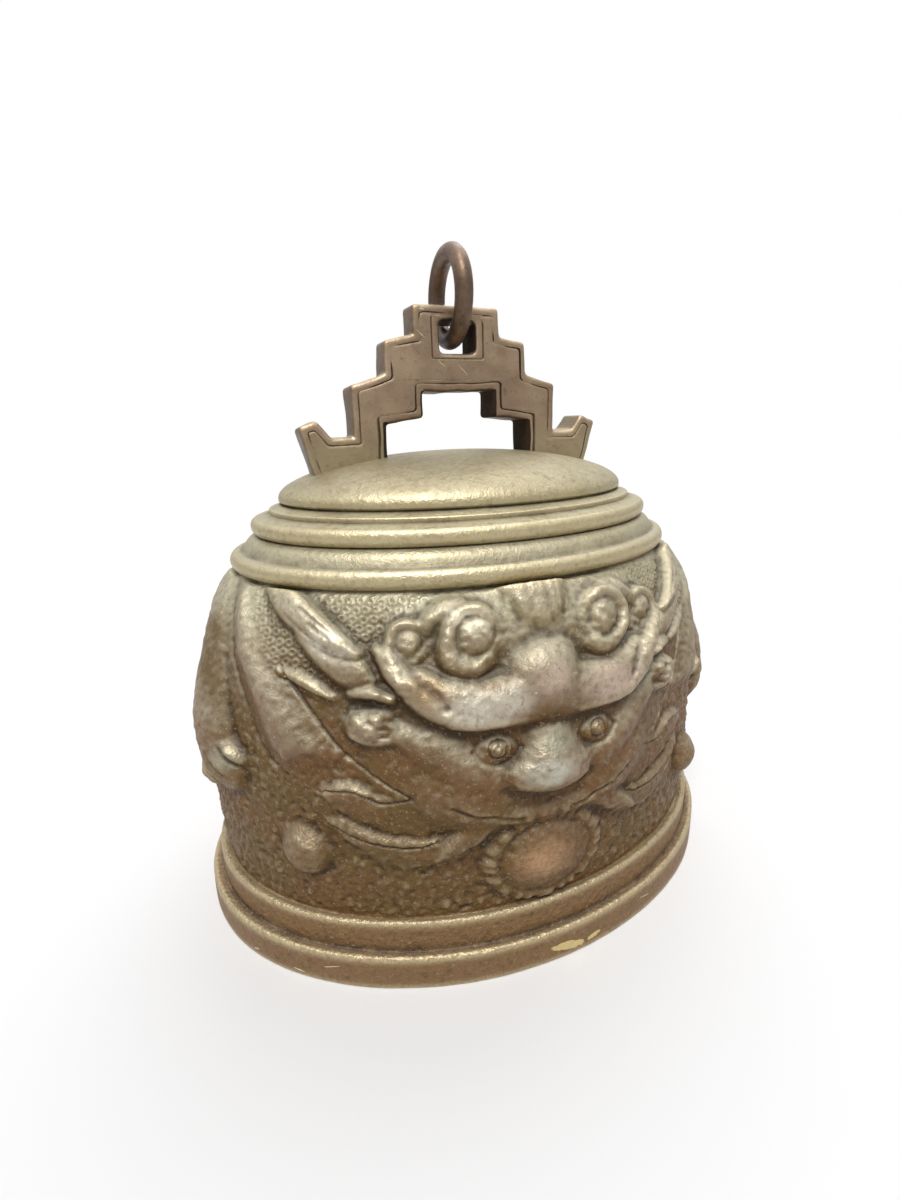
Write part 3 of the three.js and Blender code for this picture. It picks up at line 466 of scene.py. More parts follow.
def incised_lines(r):
    """The chaser's lines, cut after the forms are softened: points, half width and depth."""
    turn = np.radians(np.linspace(0, 360, 17))
    eye = [[(15.4 + size * math.cos(a), 81.4 + size * math.sin(a)) for a in turn] for size in (2.4, 1.1)]
    lines = [
        (eye[0], 0.6, 0.9),
        (eye[1], 0.45, 0.6),
        ([(8.8, 81), (11.6, 84.2), (15.4, 85.6), (19.2, 84.4), (22, 81.2)], 0.8, 0.35),
        ([(8.8, 81), (11.4, 78), (15.2, 76.8), (19.2, 78), (22, 81.2)], 0.8, 0.4),
        ([(0, 62.6), (5, 63), (9, 64.4)], 4.6, 0.8),
        ([(10, 65), (12.5, 66.6), (14.6, 68.6)], 1.6, 0.4),
        ([(2.9, 128), (2.9, 120), (2.8, 113.6)], 1.3, 0.35),
        ([(8.4, 128), (8.2, 120.5), (7.2, 115)], 1.5, 0.45),
        ([(96, 107), (92.6, 98.5), (89.4, 90.3), (86.4, 80.6), (81.8, 74.4)], 2, 0.5),
        ([(88, 84), (83, 76.6), (77, 71.6)], 0.9, 0.4),
        ([(101.2, 74.6), (99.2, 72), (96, 69.8)], 0.7, 0.6),
        ([(106.4, 72), (104, 68.6), (100.2, 66)], 0.7, 0.6),
        ([(111.4, 67.8), (108.6, 64.6), (104.2, 62)], 0.7, 0.6),
        ([(100, 122), (98, 112), (96, 103)], 1.8, 0.3),
        ([(104, 123), (103, 113), (102, 106)], 1.8, 0.3),
        ([(71, 116.4), (65, 112.4), (59.5, 110), (54, 108.6)], 0.9, 0.7),
        ([(66, 118.4), (60.4, 114.6), (55.4, 111.4)], 0.6, 0.5),
        ([(64, 114.8), (59.4, 112)], 0.6, 0.4),
        ([(36.6, 106.2), (31.6, 101.2), (28.4, 97.6), (27, 95.2)], 1.2, 0.45),
        ([(74.5, 100.6), (68, 98.6), (60, 95.4)], 0.6, 0.5),
        ([(74, 103.5), (68.3, 94.8), (63, 87), (57.4, 80.2), (49.6, 73.9), (39, 67.8)], 0.65, 0.8),
        ([(67, 67.4), (59.5, 68.6), (55.3, 68.6), (51.3, 67), (47.4, 65.4), (43.3, 65.8), (38.5, 67.2)],
         0.6, 0.7),
        ([(65.5, 58), (60.5, 55.5), (54.5, 52.8), (48.5, 51.2), (42.7, 50.3), (38, 50.4), (33, 51.6)],
         0.6, 0.8),
        ([(28, 65), (22, 61.6), (17, 60.4), (12.6, 58.4), (8, 57.2)], 1, 0.9),
    ]
    for points, half_width, depth in lines:
        r.groove(points, half_width, depth)


def punched_ground(r):
    """Small rings punched by hand over the flat ground between the horn leaf and the curls."""
    pitch, radius, line, depth, stray = 3.1, 0.98, 0.4, 0.45, 0.24
    row_height = pitch * math.sqrt(3) / 2
    row = np.round(r.along / row_height)
    across = r.s / pitch + 0.5 * (row % 2)
    column = np.round(across)
    stray_s = stray * np.sin(12.9 * column + 78.2 * row)
    stray_up = stray * np.sin(39.3 * column + 11.1 * row)
    distance = np.hypot((across - column) * pitch - stray_s, r.along - row * row_height - stray_up)
    area = smooth(r.z, 98, 103) * smooth(r.s, 22, 28) * (1 - smooth(r.s, 84, 90))
    flat = 1 - smooth(r.height, 0.8, 1.8)
    r.height += depth * area * flat * np.exp(-(((distance - radius) / line) ** 2))


FORMS = (face_mass, wing, arm, side_ball, flames, leaves, tuft, small_curl, cheeks, nose, eyes, brows,
         large_curl, pearl)


# Meshes

def build_mesh(name, points, face_groups, sharp_degrees):
    """A mesh of points in millimetres and groups of faces, each an array with rows of one length."""
    mesh = bpy.data.meshes.new(name)
    mesh.vertices.add(len(points))
    mesh.vertices.foreach_set("co", (np.asarray(points) * MM).astype(np.float32).ravel())
    corners = np.concatenate([group.ravel() for group in face_groups])
    sizes = np.concatenate([np.full(len(group), group.shape[1]) for group in face_groups])
    mesh.loops.add(len(corners))
    mesh.loops.foreach_set("vertex_index", corners.astype(np.int32))
    mesh.polygons.add(len(sizes))
    mesh.polygons.foreach_set("loop_start", np.concatenate([[0], np.cumsum(sizes)[:-1]]).astype(np.int32))
    mesh.polygons.foreach_set("use_smooth", np.ones(len(sizes), bool))
    mesh.update(calc_edges=True)
    mesh.validate()
    mesh.set_sharp_from_angle(angle=math.radians(sharp_degrees))
    return mesh


def placed(name, data):
    """A new object in the scene."""
    thing = bpy.data.objects.new(name, data)
    bpy.context.scene.collection.objects.link(thing)
    return thing


def add_piece(mesh, body, node, material):
    """Puts a mesh in the scene as the piece that stands for a CAD node."""
    piece = placed(mesh.name, mesh)
    mesh.materials.append(material)
    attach(piece, body)
    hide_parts(node)


def strip(first, second):
    """Quads between two closed loops of point numbers of the same length."""
    return np.stack([first, np.roll(first, -1), np.roll(second, -1), second], axis=1)


def skin(loops, closed=False):
    """Faces from each loop of point numbers to the next; a closed run meets itself, an open one is capped."""
    ends = [strip(loops[-1], loops[0])] if closed else [loops[0][None, ::-1], loops[-1][None]]
    return [strip(a, b) for a, b in zip(loops, loops[1:])] + ends


class Rings:
    """Rings of points for one mesh, with numbers on each point for its material to read."""

    def __init__(self):
        self.points = []
        self.values = []
        self.count = 0

    def add(self, ring, *values):
        """Adds a ring and gives the numbers of its points."""
        self.points.append(ring)
        self.values.append(np.stack([np.broadcast_to(value, len(ring)) for value in values]))
        self.count += len(ring)
        return np.arange(self.count - len(ring), self.count)

    def mesh(self, name, faces, sharp_degrees, value_names):
        mesh = build_mesh(name, np.vstack(self.points), faces, sharp_degrees)
        for value_name, values in zip(value_names, np.hstack(self.values)):
            attribute = mesh.attributes.new(value_name, "FLOAT", "POINT")
            limited = np.clip(values, -PROUD_LIMIT, PROUD_LIMIT)
            attribute.data.foreach_set("value", limited.astype(np.float32))
        return mesh


# Shell

def plan_angles():
    """Angles round the oval, evenly spaced along its edge, and their unit arc length from the front."""
    fine = np.linspace(-np.pi, np.pi, 20001)
    step = np.hypot(np.diff(np.sin(fine)), PLAN_RATIO * np.diff(np.cos(fine)))
    arc = np.concatenate([[0], np.cumsum(step)])
    arc -= arc[-1] / 2
    even = np.linspace(arc[0], arc[-1], WALL_COLUMNS, endpoint=False)
    return np.interp(even, arc, fine), even, arc[-1]


def wall_line(inset, rows):
    """Rows of (half length, height) up the wall, evenly spaced."""
    dense = bezier([WALL_FOOT, WALL_BELLY, WALL_SHOULDER, WALL_TOP], 400) - (inset, 0)
    run = run_along(dense)
    even = np.linspace(0, run[-1], rows)
    return np.stack([np.interp(even, run, dense[:, i]) for i in range(2)], axis=1)


def on_oval(half_length, height, angles):
    """Points round the oval at one height."""
    return np.stack([half_length * np.sin(angles), -PLAN_RATIO * half_length * np.cos(angles),
                     np.full_like(angles, height)], axis=-1)


def cast_surface(relief, base, spacing):
    """The casting's unevenness: a slow swell, a grain that is coarser on the low ground, and rough spots."""
    grain = blurred(np.random.default_rng(6).normal(size=relief.z.shape), GRAIN_SIZE / spacing)
    pebbled = 1 - smooth(relief.z, *PEBBLED_HEIGHTS)
    pebbled *= 1 - 0.75 * smooth(relief.height, *PEBBLED_RELIEF)
    uneven = SWELL_DEPTH * wobble(base, SWELL_WAVELENGTH, seed=5)
    uneven += (GRAIN_DEPTH + PEBBLE_DEPTH * pebbled) * grain / grain.std()
    rough = wobble(base, 5, seed=9) + 0.7 * wobble(base, 2.4, seed=10)
    for place, reach, depth in ROUGH_SPOTS:
        far = np.hypot((relief.s - place[0]) / reach[0], (relief.z - place[1]) / reach[1])
        uneven += depth * np.exp(-(far**2)) * rough
    return uneven


def carved_wall(angles, arc, half_arc):
    """The wall's points with the mask front and back, and how proud each is of its surroundings."""
    line = wall_line(0, WALL_ROWS)
    half_length, level = line[:, :1], line[:, 1:]
    base = np.stack([on_oval(*row, angles) for row in line])
    spacing = np.linalg.norm(base[1, 0] - base[0, 0])
    z = np.repeat(level, len(angles), axis=1)
    shift = FACE_SHIFT + (CURL_SHIFT - FACE_SHIFT) * smooth(level, *CURL_HEIGHTS)
    shift += (PEARL_SHIFT - FACE_SHIFT) * (1 - smooth(level, *PEARL_HEIGHTS))
    turned = (arc - shift / half_length + half_arc / 2) % half_arc - half_arc / 2
    s = np.abs(turned * half_length + HAND_STRAY * wobble(base, HAND_WAVELENGTH, seed=3))
    relief = Relief(s, z, np.arange(len(line))[:, None] * spacing)
    for form in FORMS:
        form(relief)
    relief.height = blurred(relief.height, FORM_SOFTNESS / spacing)
    incised_lines(relief)
    punched_ground(relief)
    fade = smooth(z, WALL_FOOT[1], WALL_FOOT[1] + FOOT_FADE) * smooth(z, WALL_TOP[1], WALL_TOP[1] - TOP_FADE)
    height = fade * (blurred(relief.height, LINE_SOFTNESS / spacing) + cast_surface(relief, base, spacing))
    along = np.roll(base, -1, axis=1) - np.roll(base, 1, axis=1)
    normal = unit(np.cross(along, np.gradient(base, axis=0)))
    cavity = (height - blurred(height, NEAR_REACH / spacing)) / NEAR_HEIGHT
    broad = (height - blurred(height, BROAD_REACH / spacing)) / BROAD_HEIGHT
    return base + normal * height[..., None], cavity, broad


def outer_foot_line():
    """From the rim's inner edge out and up both bands to the wall's foot."""
    rim, upper = RIM_HALF_LENGTH, UPPER_BAND_HALF_LENGTH
    stretches = [([(rim - RIM_ROUND, 0)], 5), ([(rim, 0), (rim, RIM_ROUND)], 4)]
    step = [([(upper + BAND_CREASE[0], LOWER_BAND_TOP - BAND_CREASE[1])], 3), ([(upper, LOWER_BAND_TOP)], 1)]
    foot = [([(WALL_FOOT[0] + WALL_CREASE, WALL_FOOT[1] - WALL_CREASE)], 2)]
    for half_length, top, ledge in ((rim, LOWER_BAND_TOP, step), (upper, UPPER_BAND_TOP, foot)):
        side = half_length - BAND_TAPER
        stretches.append(([(side, top - BAND_ROUND)], 6))
        stretches.append(([(side, top), (half_length - BAND_ROUND, top)], 6))
        stretches += ledge
    return bezier_line((RIM_INNER_HALF_LENGTH, 0), stretches)


def bead(inner, crest, foot, top):
    """The stretch of a half-round bead whose handles make its crest reach the given half length."""
    handle = crest + (crest - inner) / 3
    return [(handle, foot), (handle, top), (inner, top)], 14


def shoulder_line():
    """The mouldings and the dome, from the wall's top to the axis."""
    foot, low = WALL_TOP[0] - UNDERCUT, WALL_TOP[1] + UNDERCUT / 2
    middle = MIDDLE_BEAD_HALF_LENGTH - 2 * UNDERCUT
    fillet, dome = FILLET_HALF_LENGTH, DOME_HALF_LENGTH
    cove = [(foot - 2 * UNDERCUT, COVE_FOOT), (foot - UNDERCUT, MIDDLE_BEAD_FOOT - UNDERCUT),
            (middle, MIDDLE_BEAD_FOOT)]
    vault = [(dome, DOME_FOOT + DOME_SPRING), (DOME_CAP_HALF_LENGTH, DOME_TOP), (POLE_HALF_LENGTH, DOME_TOP)]
    return bezier_line((foot, low), [
        bead(foot, LOWER_BEAD_HALF_LENGTH, low, COVE_FOOT),
        (cove, 10),
        bead(middle, MIDDLE_BEAD_HALF_LENGTH, MIDDLE_BEAD_FOOT, FILLET_FOOT),
        ([(fillet, FILLET_FOOT + UNDERCUT)], 1),
        ([(fillet, LEDGE_FOOT - LEDGE_ROUND[1])], 3),
        ([(fillet, LEDGE_FOOT), (fillet - LEDGE_ROUND[0], LEDGE_FOOT)], 3),
        ([(dome - UNDERCUT, LIP_FOOT)], 3),
        ([(dome, LIP_TOP)], 2),
        ([(dome, DOME_FOOT)], 2),
        (vault, 40),
    ])


def inner_line():
    """The inside, from the ceiling's middle down to just above the rim's inner edge."""
    wall = wall_line(WALL_THICKNESS, 24)[::-1]
    bend = wall[2]
    corner = [(CEILING_HALF_LENGTH + WALL_THICKNESS, CEILING), bend + (0, WALL_THICKNESS), bend]
    ceiling = bezier_line((POLE_HALF_LENGTH, CEILING), [([(CEILING_HALF_LENGTH, CEILING)], 8), (corner, 8)])
    foot = bezier([wall[-1], (RIM_INNER_HALF_LENGTH, 0)], 5)
    return np.vstack([ceiling, wall[3:], foot[1:-1]])


def line_cavity(line):
    """How far each point of a profile stands proud of the profile's own smooth run."""
    run = run_along(line)
    weights = np.exp(-0.5 * ((run[:, None] - run[None]) / PROFILE_REACH) ** 2) * np.gradient(run)[None]
    soft = (weights @ line) / weights.sum(1, keepdims=True)
    tangent = np.gradient(line, axis=0)
    normal = unit(np.stack([tangent[:, 1], -tangent[:, 0]], axis=1))
    return ((line - soft) * normal).sum(1) / PROFILE_HEIGHT


def stitch(first, second):
    """Faces between a coarse loop and a fine one with COLUMN_STEP times its points."""
    upward = len(first) < len(second)
    coarse, fine = (first, second) if upward else (second, first)
    span = [np.roll(fine, -i)[::COLUMN_STEP] for i in range(COLUMN_STEP + 1)]
    pair = [coarse, np.roll(coarse, -1)]
    return np.stack(pair + span[::-1] if upward else span + pair[::-1], axis=1)


def shell_mesh():
    """The casting as one closed mesh: fine columns on the wall, every fourth one elsewhere."""
    angles, arc, half_arc = plan_angles()
    rings = Rings()

    def turned(line):
        loops = []
        for (half_length, height), near in zip(line, line_cavity(line)):
            ring = on_oval(half_length, height, angles[::COLUMN_STEP])
            uneven = sum(share * wobble(ring, *wave) for share, *wave in TURNED_UNEVENNESS)
            ring[:, :2] *= (1 + uneven)[:, None]
            loops.append(rings.add(ring, near, 0.0))
        return loops

    outside = turned(outer_foot_line())
    outside += [rings.add(*row) for row in zip(*carved_wall(angles, arc, half_arc))]
    outside += turned(shoulder_line())
    hollow = turned(inner_line())
    faces = [outside[-1][None], hollow[0][None, ::-1]]
    for run in (outside, hollow + outside[:1]):
        for first, second in zip(run, run[1:]):
            faces.append(strip(first, second) if len(first) == len(second) else stitch(first, second))
    return rings.mesh("cast_shell", faces, sharp_degrees=55, value_names=("cavity", "broad"))


# Crown

def rounded_loop(outline, inset, corner, spans, bend=5):
    """A closed outline moved in by inset, with rounded corners and each side cut into its spans."""
    before = unit(outline - np.roll(outline, 1, axis=0))
    after = np.roll(before, -1, axis=0)
    inward_before = np.stack([-before[:, 1], before[:, 0]], axis=1)
    inward_after = np.roll(inward_before, -1, axis=0)
    bisector = inward_before + inward_after
    p = outline + inset * bisector / (1 + (inward_before * inward_after).sum(1, keepdims=True))
    sides = np.linalg.norm(np.roll(p, -1, axis=0) - p, axis=1)
    reach = np.minimum(corner, 0.4 * np.minimum(sides, np.roll(sides, 1)))[:, None]
    start, end = p - reach * before, p + reach * after
    rows = []
    for i, span in enumerate(spans):
        rows.append(bezier([start[i], p[i], end[i]], bend)[:-1])
        rows.append(bezier([end[i], start[(i + 1) % len(p)]], span)[:-1])
    return np.vstack(rows)


def rounded_box(half_width, low, high, corner):
    """A rounded rectangle about the middle."""
    corners = np.array([(half_width, low), (half_width, high), (-half_width, high), (-half_width, low)])
    return rounded_loop(corners, 0.0, corner, [6, 8, 6, 8])


def plate_ring(loop, side, depth):
    """An upright loop's points at a depth under the plate's front, side -1, or its back, side 1."""
    return np.stack([loop[:, 0], np.full(len(loop), side * (CROWN_PLATE / 2 - depth)), loop[:, 1]], axis=1)


def crown_edge_loops(rings, outline, side):
    """The plate's uneven edge and its incised line, which is worn away in places."""
    sides = np.linalg.norm(np.roll(outline, -1, axis=0) - outline, axis=1)
    spans = np.maximum(1, np.round(sides / CROWN_SPAN)).astype(int)
    loops = []
    for inset, depth, proud in CROWN_EDGE:
        ring = plate_ring(rounded_loop(outline, inset, CROWN_CORNER, spans), side, depth)
        for axis, seed in ((0, 21), (2, 23)):
            fine, slow = wobble(ring, EDGE_FINE[1], seed), wobble(ring, EDGE_SLOW[1], seed + 1)
            ring[:, axis] += EDGE_FINE[0] * fine + EDGE_SLOW[0] * slow
        ring[:, 1] += FACE_SLOW[0] * wobble(ring, FACE_SLOW[1], seed=25)
        if proud < 0:
            worn = smooth(wobble(ring * (1, 0, 1), WEAR_WAVELENGTH, seed=26), -0.2, 1.0)
            ring[:, 1] += worn * side * depth
            proud = proud * (1 - worn)
        loops.append(rings.add(ring, proud))
    return loops


def eye_edge_loops(rings, side):
    """The frame line round the eye and the eye's worn edge."""
    loops = []
    for (half_width, low, high, corner), grow, depth, proud in EYE_EDGE:
        loop = rounded_box(half_width + grow, low - grow, high + grow, corner + max(grow, 0))
        loops.append(rings.add(plate_ring(loop, side, depth), proud))
    return loops


def between(rings, outer, hole, side):
    """Triangles of the plate's face from its edge to the eye's frame, looking along side times Y."""
    points = np.vstack(rings.points)
    loops = [[Vector((x, z, 0)) for x, _, z in points[ring]] for ring in (outer, hole)]
    triangles = np.concatenate([outer, hole])[np.array(tessellate_polygon(loops))]
    a, b, c = (points[triangles[:, i]] for i in range(3))
    looks = np.cross(b - a, c - a)[:, 1]
    return np.where((looks * side > 0)[:, None], triangles, triangles[:, ::-1])


def tenon_faces(rings, side):
    """A tenon through the dome, spread where it is riveted under its rove."""
    outline = [(-1.4, RIVET_BOTTOM), (-0.5, RIVET_BOTTOM + 0.3), (0.0, RIVET_BOTTOM + 1.0),
               (0.0, RIVET_TOP - 0.3), (-0.3, RIVET_TOP), (-RIVET_SPREAD, RIVET_TOP),
               (-RIVET_SPREAD, TENON_ROOT)]
    loops = []
    for grow, height in outline:
        half, deep = TENON_HALF_LENGTH + RIVET_SPREAD + grow, TENON_HALF_WIDTH + RIVET_SPREAD + grow
        loop = rounded_box(half, -deep, deep, TENON_CORNER) + (side * TENON_CENTRE, 0)
        loops.append(rings.add(np.column_stack([loop, np.full(len(loop), height)]), 0.0))
    return skin(loops)


def crown_mesh():
    """The crown's plate with its worn edges and incised lines, and the tenons riveted under the dome."""
    right = np.array(CROWN_HALF_OUTLINE) + (0, DOME_TOP)
    outline = np.vstack([right, (right * (-1, 1))[::-1]])[::-1]
    rings, faces, rims, reveals = Rings(), [], [], []
    for side in (-1, 1):
        edge, eye = crown_edge_loops(rings, outline, side), eye_edge_loops(rings, side)
        runs = [strip(a, b) for a, b in zip(edge, edge[1:])] + [strip(b, a) for a, b in zip(eye, eye[1:])]
        faces += [run if side < 0 else run[:, ::-1] for run in runs]
        faces.append(between(rings, edge[-1], eye[0], side))
        rims.append(edge[0])
        reveals.append(eye[-1])
    faces += [strip(rims[1], rims[0]), strip(reveals[0], reveals[1])]
    for side in (-1, 1):
        faces += tenon_faces(rings, side)
    return rings.mesh("crown_plate", faces, sharp_degrees=48, value_names=("cavity",))


# Rods and turned pieces

def skinned(points, closed):
    """The points and faces of a skin over rows of rings."""
    loops = np.arange(points.shape[0] * points.shape[1]).reshape(points.shape[:2])
    return points.reshape(-1, 3), skin(loops, closed)


def tube(path, radius, sides, closed=False):
    """Points and faces of a round rod along a path that lies in a plane through Z."""
    tangent = np.gradient(path, axis=0)
    if closed:
        tangent = np.roll(path, -1, axis=0) - np.roll(path, 1, axis=0)
    flat = unit(np.cross(path[1] - path[0], path[len(path) // 3] - path[0]))
    across = np.cross(unit(tangent), flat)
    turn = np.linspace(0, 2 * np.pi, sides, endpoint=False)[:, None]
    return skinned(path[:, None] + radius * (np.cos(turn) * across[:, None] + np.sin(turn) * flat), closed)


def lathe(profile, sides, closed=False):
    """Points and faces of a profile of (radius, height) turned about Z; an open one is capped."""
    turn = np.linspace(0, 2 * np.pi, sides, endpoint=False)
    profile = np.asarray(profile, float)
    return skinned(np.stack([profile[:, :1] * np.cos(turn), profile[:, :1] * np.sin(turn),
                             np.repeat(profile[:, 1:], sides, axis=1)], axis=-1), closed)


def joined(name, parts, unevenness, seed):
    """One mesh of several (points, faces) parts, with a slight hand-made unevenness in millimetres."""
    points, faces, count = [], [], 0
    for part, groups in parts:
        points.append(part)
        faces += [group + count for group in groups]
        count += len(part)
    points = np.vstack(points)
    shift = np.stack([wobble(points, 12, seed + i) for i in range(3)], axis=1)
    return build_mesh(name, points + unevenness * shift, faces, sharp_degrees=40)


def upright_arc(turn, radius, height):
    """Points at angles round a circle about X."""
    return np.stack([0 * turn, radius * np.cos(turn), height + radius * np.sin(turn)], axis=1)


def ring_mesh():
    gap = RING_SEAM / RING_MEAN_RADIUS / 2
    path = upright_arc(np.linspace(gap, 2 * np.pi - gap, 121), RING_MEAN_RADIUS, RING_CENTRE)
    return joined("hanging_ring", [tube(path, RING_ROD / 2, sides=28)], unevenness=0.03, seed=31)


def staple_mesh():
    reach, bar, corner = STAPLE_REACH, STAPLE_BAR, STAPLE_CORNER
    half = bezier_line((reach, STAPLE_TOP), [
        ([(reach, bar + corner)], 14), ([(reach, bar), (reach - corner, bar)], 12), ([(0, bar)], 4)])
    line = np.vstack([half, (half * (-1, 1))[-2::-1]])
    path = np.stack([line[:, 0], 0 * line[:, 0], line[:, 1]], axis=1)
    return joined("staple_rod", [tube(path, STAPLE_ROD / 2, sides=24)], unevenness=0.05, seed=41)


def shank_mesh():
    """The clapper's rod: a riveted button under the ball, a collar over it, a tapered stem and an eye."""
    eye = upright_arc(np.linspace(0, 2 * np.pi, 64, endpoint=False), CLAPPER_EYE_RADIUS, CLAPPER_EYE)
    button = BALL_CENTRE - BALL_FLAT - BALL_PLAY
    collar = BALL_CENTRE + BALL_FLAT + BALL_PLAY
    profile = [(2.6, button - 3.0), (3.9, button - 2.8), (5.1, button - 1.9), (5.5, button - 1.0),
               (5.4, button - 0.2), (5.1, button), (3.0, button), (3.0, collar), (5.6, collar),
               (6.0, collar + 0.5), (6.0, collar + 2.5), (5.6, collar + 3.0), (4.7, collar + 3.1)]
    stem = bezier([(STEM_FOOT_RADIUS, collar + 4.0), (STEM_TOP_RADIUS, CLAPPER_EYE - CLAPPER_EYE_RADIUS)], 24)
    parts = [tube(eye, CLAPPER_EYE_ROD / 2, sides=24, closed=True), lathe([*profile, *stem], sides=32)]
    return joined("clapper_rod", parts, unevenness=0.06, seed=51)


def ball_mesh():
    bulge = np.linspace(-1, 1, 33) * math.asin(BALL_FLAT / BALL_RADIUS)
    arc = [(BALL_RADIUS * math.cos(a), BALL_RADIUS * math.sin(a)) for a in bulge]
    profile = np.array([(BALL_BORE, -BALL_FLAT), *arc, (BALL_BORE, BALL_FLAT)]) + (0, BALL_CENTRE)
    return joined("clapper_weight", [lathe(profile, sides=48, closed=True)], unevenness=0.08, seed=61)


# Materials

def linear(red, green, blue):
    """A screen colour of 0 to 255 as the shader's linear colour."""
    def channel(value):
        value /= 255
        return value / 12.92 if value <= 0.04045 else ((value + 0.055) / 1.055) ** 2.4
    return channel(red), channel(green), channel(blue), 1.0


class Nodes:
    """A node tree, with one call that makes a node, sets it up and feeds it."""

    def __init__(self, tree):
        self.tree = tree

    def feed(self, socket, value):
        if isinstance(value, bpy.types.NodeSocket):
            self.tree.links.new(value, socket)
        else:
            socket.default_value = value

    def node(self, kind, output, inputs, **settings):
        """An output of a new node, whose sockets are fed by name or number."""
        node = self.tree.nodes.new(kind)
        for name, setting in settings.items():
            setattr(node, name, setting)
        for name, value in inputs.items():
            self.feed(node.inputs[name], value)
        return node.outputs[output]


class Finish(Nodes):
    """A material whose colour is built up in layers, with a short call for each kind of node."""

    def __init__(self, name, colour):
        self.material = bpy.data.materials.new(name)
        self.material.use_nodes = True
        super().__init__(self.material.node_tree)
        self.colour = colour
        self.place = self.node("ShaderNodeTexCoord", "Object", {})
        normal = self.node("ShaderNodeNewGeometry", "Normal", {})
        self.x, self.height = self.along(self.place, "X"), self.along(self.place, "Z")
        # How far the surface looks to the right, and up: 1 for a level top, 0 for a wall, -1 for an underside
        self.rightward, self.upward = self.along(normal, "X"), self.along(normal, "Z")

    def value(self, name):
        """A number that the mesh keeps on its points."""
        return self.node("ShaderNodeAttribute", "Fac", {}, attribute_name=name)

    def noise(self, size, detail=4.0, roughness=0.6):
        """Noise whose patches are about size millimetres across."""
        inputs = {"Vector": self.place, "Scale": 1 / (size * MM), "Detail": detail, "Roughness": roughness}
        return self.node("ShaderNodeTexNoise", "Fac", inputs)

    def along(self, vector, axis):
        return self.node("ShaderNodeSeparateXYZ", axis, {"Vector": vector})

    def step(self, value, low, high, start=0.0, end=1.0):
        """A soft step of a value from start at low to end at high."""
        inputs = {"Value": value, "From Min": low, "From Max": high, "To Min": start, "To Max": end}
        return self.node("ShaderNodeMapRange", "Result", inputs, interpolation_type="SMOOTHSTEP")

    def rise(self, low, high, start=0.0, end=1.0):
        """A soft step between two heights in millimetres."""
        return self.step(self.height, low * MM, high * MM, start, end)

    def near(self, centre, reach, turn=0.0):
        """1 at a place in millimetres, falling to 0 at the reach along each axis, turned about Y."""
        ends = {0: self.place, 1: Vector(centre) * MM}
        shifted = self.node("ShaderNodeVectorMath", "Vector", ends, operation="SUBTRACT")
        inputs = {"Vector": shifted, "Rotation": (0, math.radians(turn), 0), "Scale": Vector(reach) * MM}
        scaled = self.node("ShaderNodeMapping", "Vector", inputs, vector_type="TEXTURE")
        length = self.node("ShaderNodeVectorMath", "Value", {0: scaled}, operation="LENGTH")
        return self.step(length, 1.0, 0.0)

    def marks(self, places, grain, low, high):
        """Ragged marks at (centre, reach, turn) places, broken up by a grain in millimetres."""
        total = 0.0
        for place in places:
            total = self.math("MAXIMUM", self.near(*place), total)
        return self.step(self.times(total, self.noise(grain)), low, high)

    def math(self, operation, first, second):
        return self.node("ShaderNodeMath", "Value", {0: first, 1: second}, operation=operation)

    def times(self, product, *others):
        for other in others:
            product = self.math("MULTIPLY", product, other)
        return product

    def plus(self, first, second):
        return self.math("ADD", first, second)

    def tint(self, tone, factor):
        """Turns the colour towards a tone; the Mix node's colours follow its numbers and vectors."""
        self.colour = self.node("ShaderNodeMix", 2, {0: factor, 6: self.colour, 7: tone}, data_type="RGBA")

    def done(self, metal, rough, grain=(), gloss=0.5):
        """The material, with a grain of (height value, depth in millimetres) layers laid one over another."""
        sockets = {}
        for value, depth in grain:
            layer = {"Height": value, "Distance": depth * MM, **sockets}
            sockets = {"Normal": self.node("ShaderNodeBump", "Normal", layer)}
        sockets |= {"Base Color": self.colour, "Metallic": metal, "Roughness": rough}
        sockets["Specular IOR Level"] = gloss
        for name, value in sockets.items():
            self.feed(self.tree.nodes["Principled BSDF"].inputs[name], value)
        return self.material


CREASE = linear(46, 32, 20)
BROWN = linear(102, 78, 41)
WARM_BROWN = linear(110, 78, 44)
RED_BROWN = linear(130, 100, 66)
COPPER = linear(192, 152, 114)
GOLDEN = linear(212, 196, 156)
OLIVE = linear(160, 150, 116)
GREY_TAUPE = linear(160, 142, 122)
GREY_GREEN = linear(178, 172, 150)
PALE_BROW = linear(204, 196, 178)
PINK_TAUPE = linear(192, 170, 152)
BLUE_GREY = linear(190, 187, 172)
SPECK = linear(214, 198, 164)
PAINTED_CURL_HIGHLIGHT = linear(240, 228, 200)
SHADED = linear(118, 94, 66)
GREEN_GREY = linear(146, 144, 124)
BRASS = linear(212, 190, 132)
TAUPE = linear(158, 136, 112)
DARK_TAUPE = linear(135, 114, 92)
RING_BROWN = linear(88, 68, 53)
RING_COPPER = linear(110, 88, 70)
IRON = linear(58, 54, 50)
RUST = linear(96, 62, 42)
FLOOR_WHITE = (0.8, 0.8, 0.805, 1)

# How strong the mask's patches are, some of them painted highlights, reflections and shade, and the crease
# dirt with its painted shade, and how glossy old bronze is
PATCH_STRENGTH, DIRT_AND_SHADE_STRENGTH, OLD_GLOSS = 0.85, 0.72, 0.25
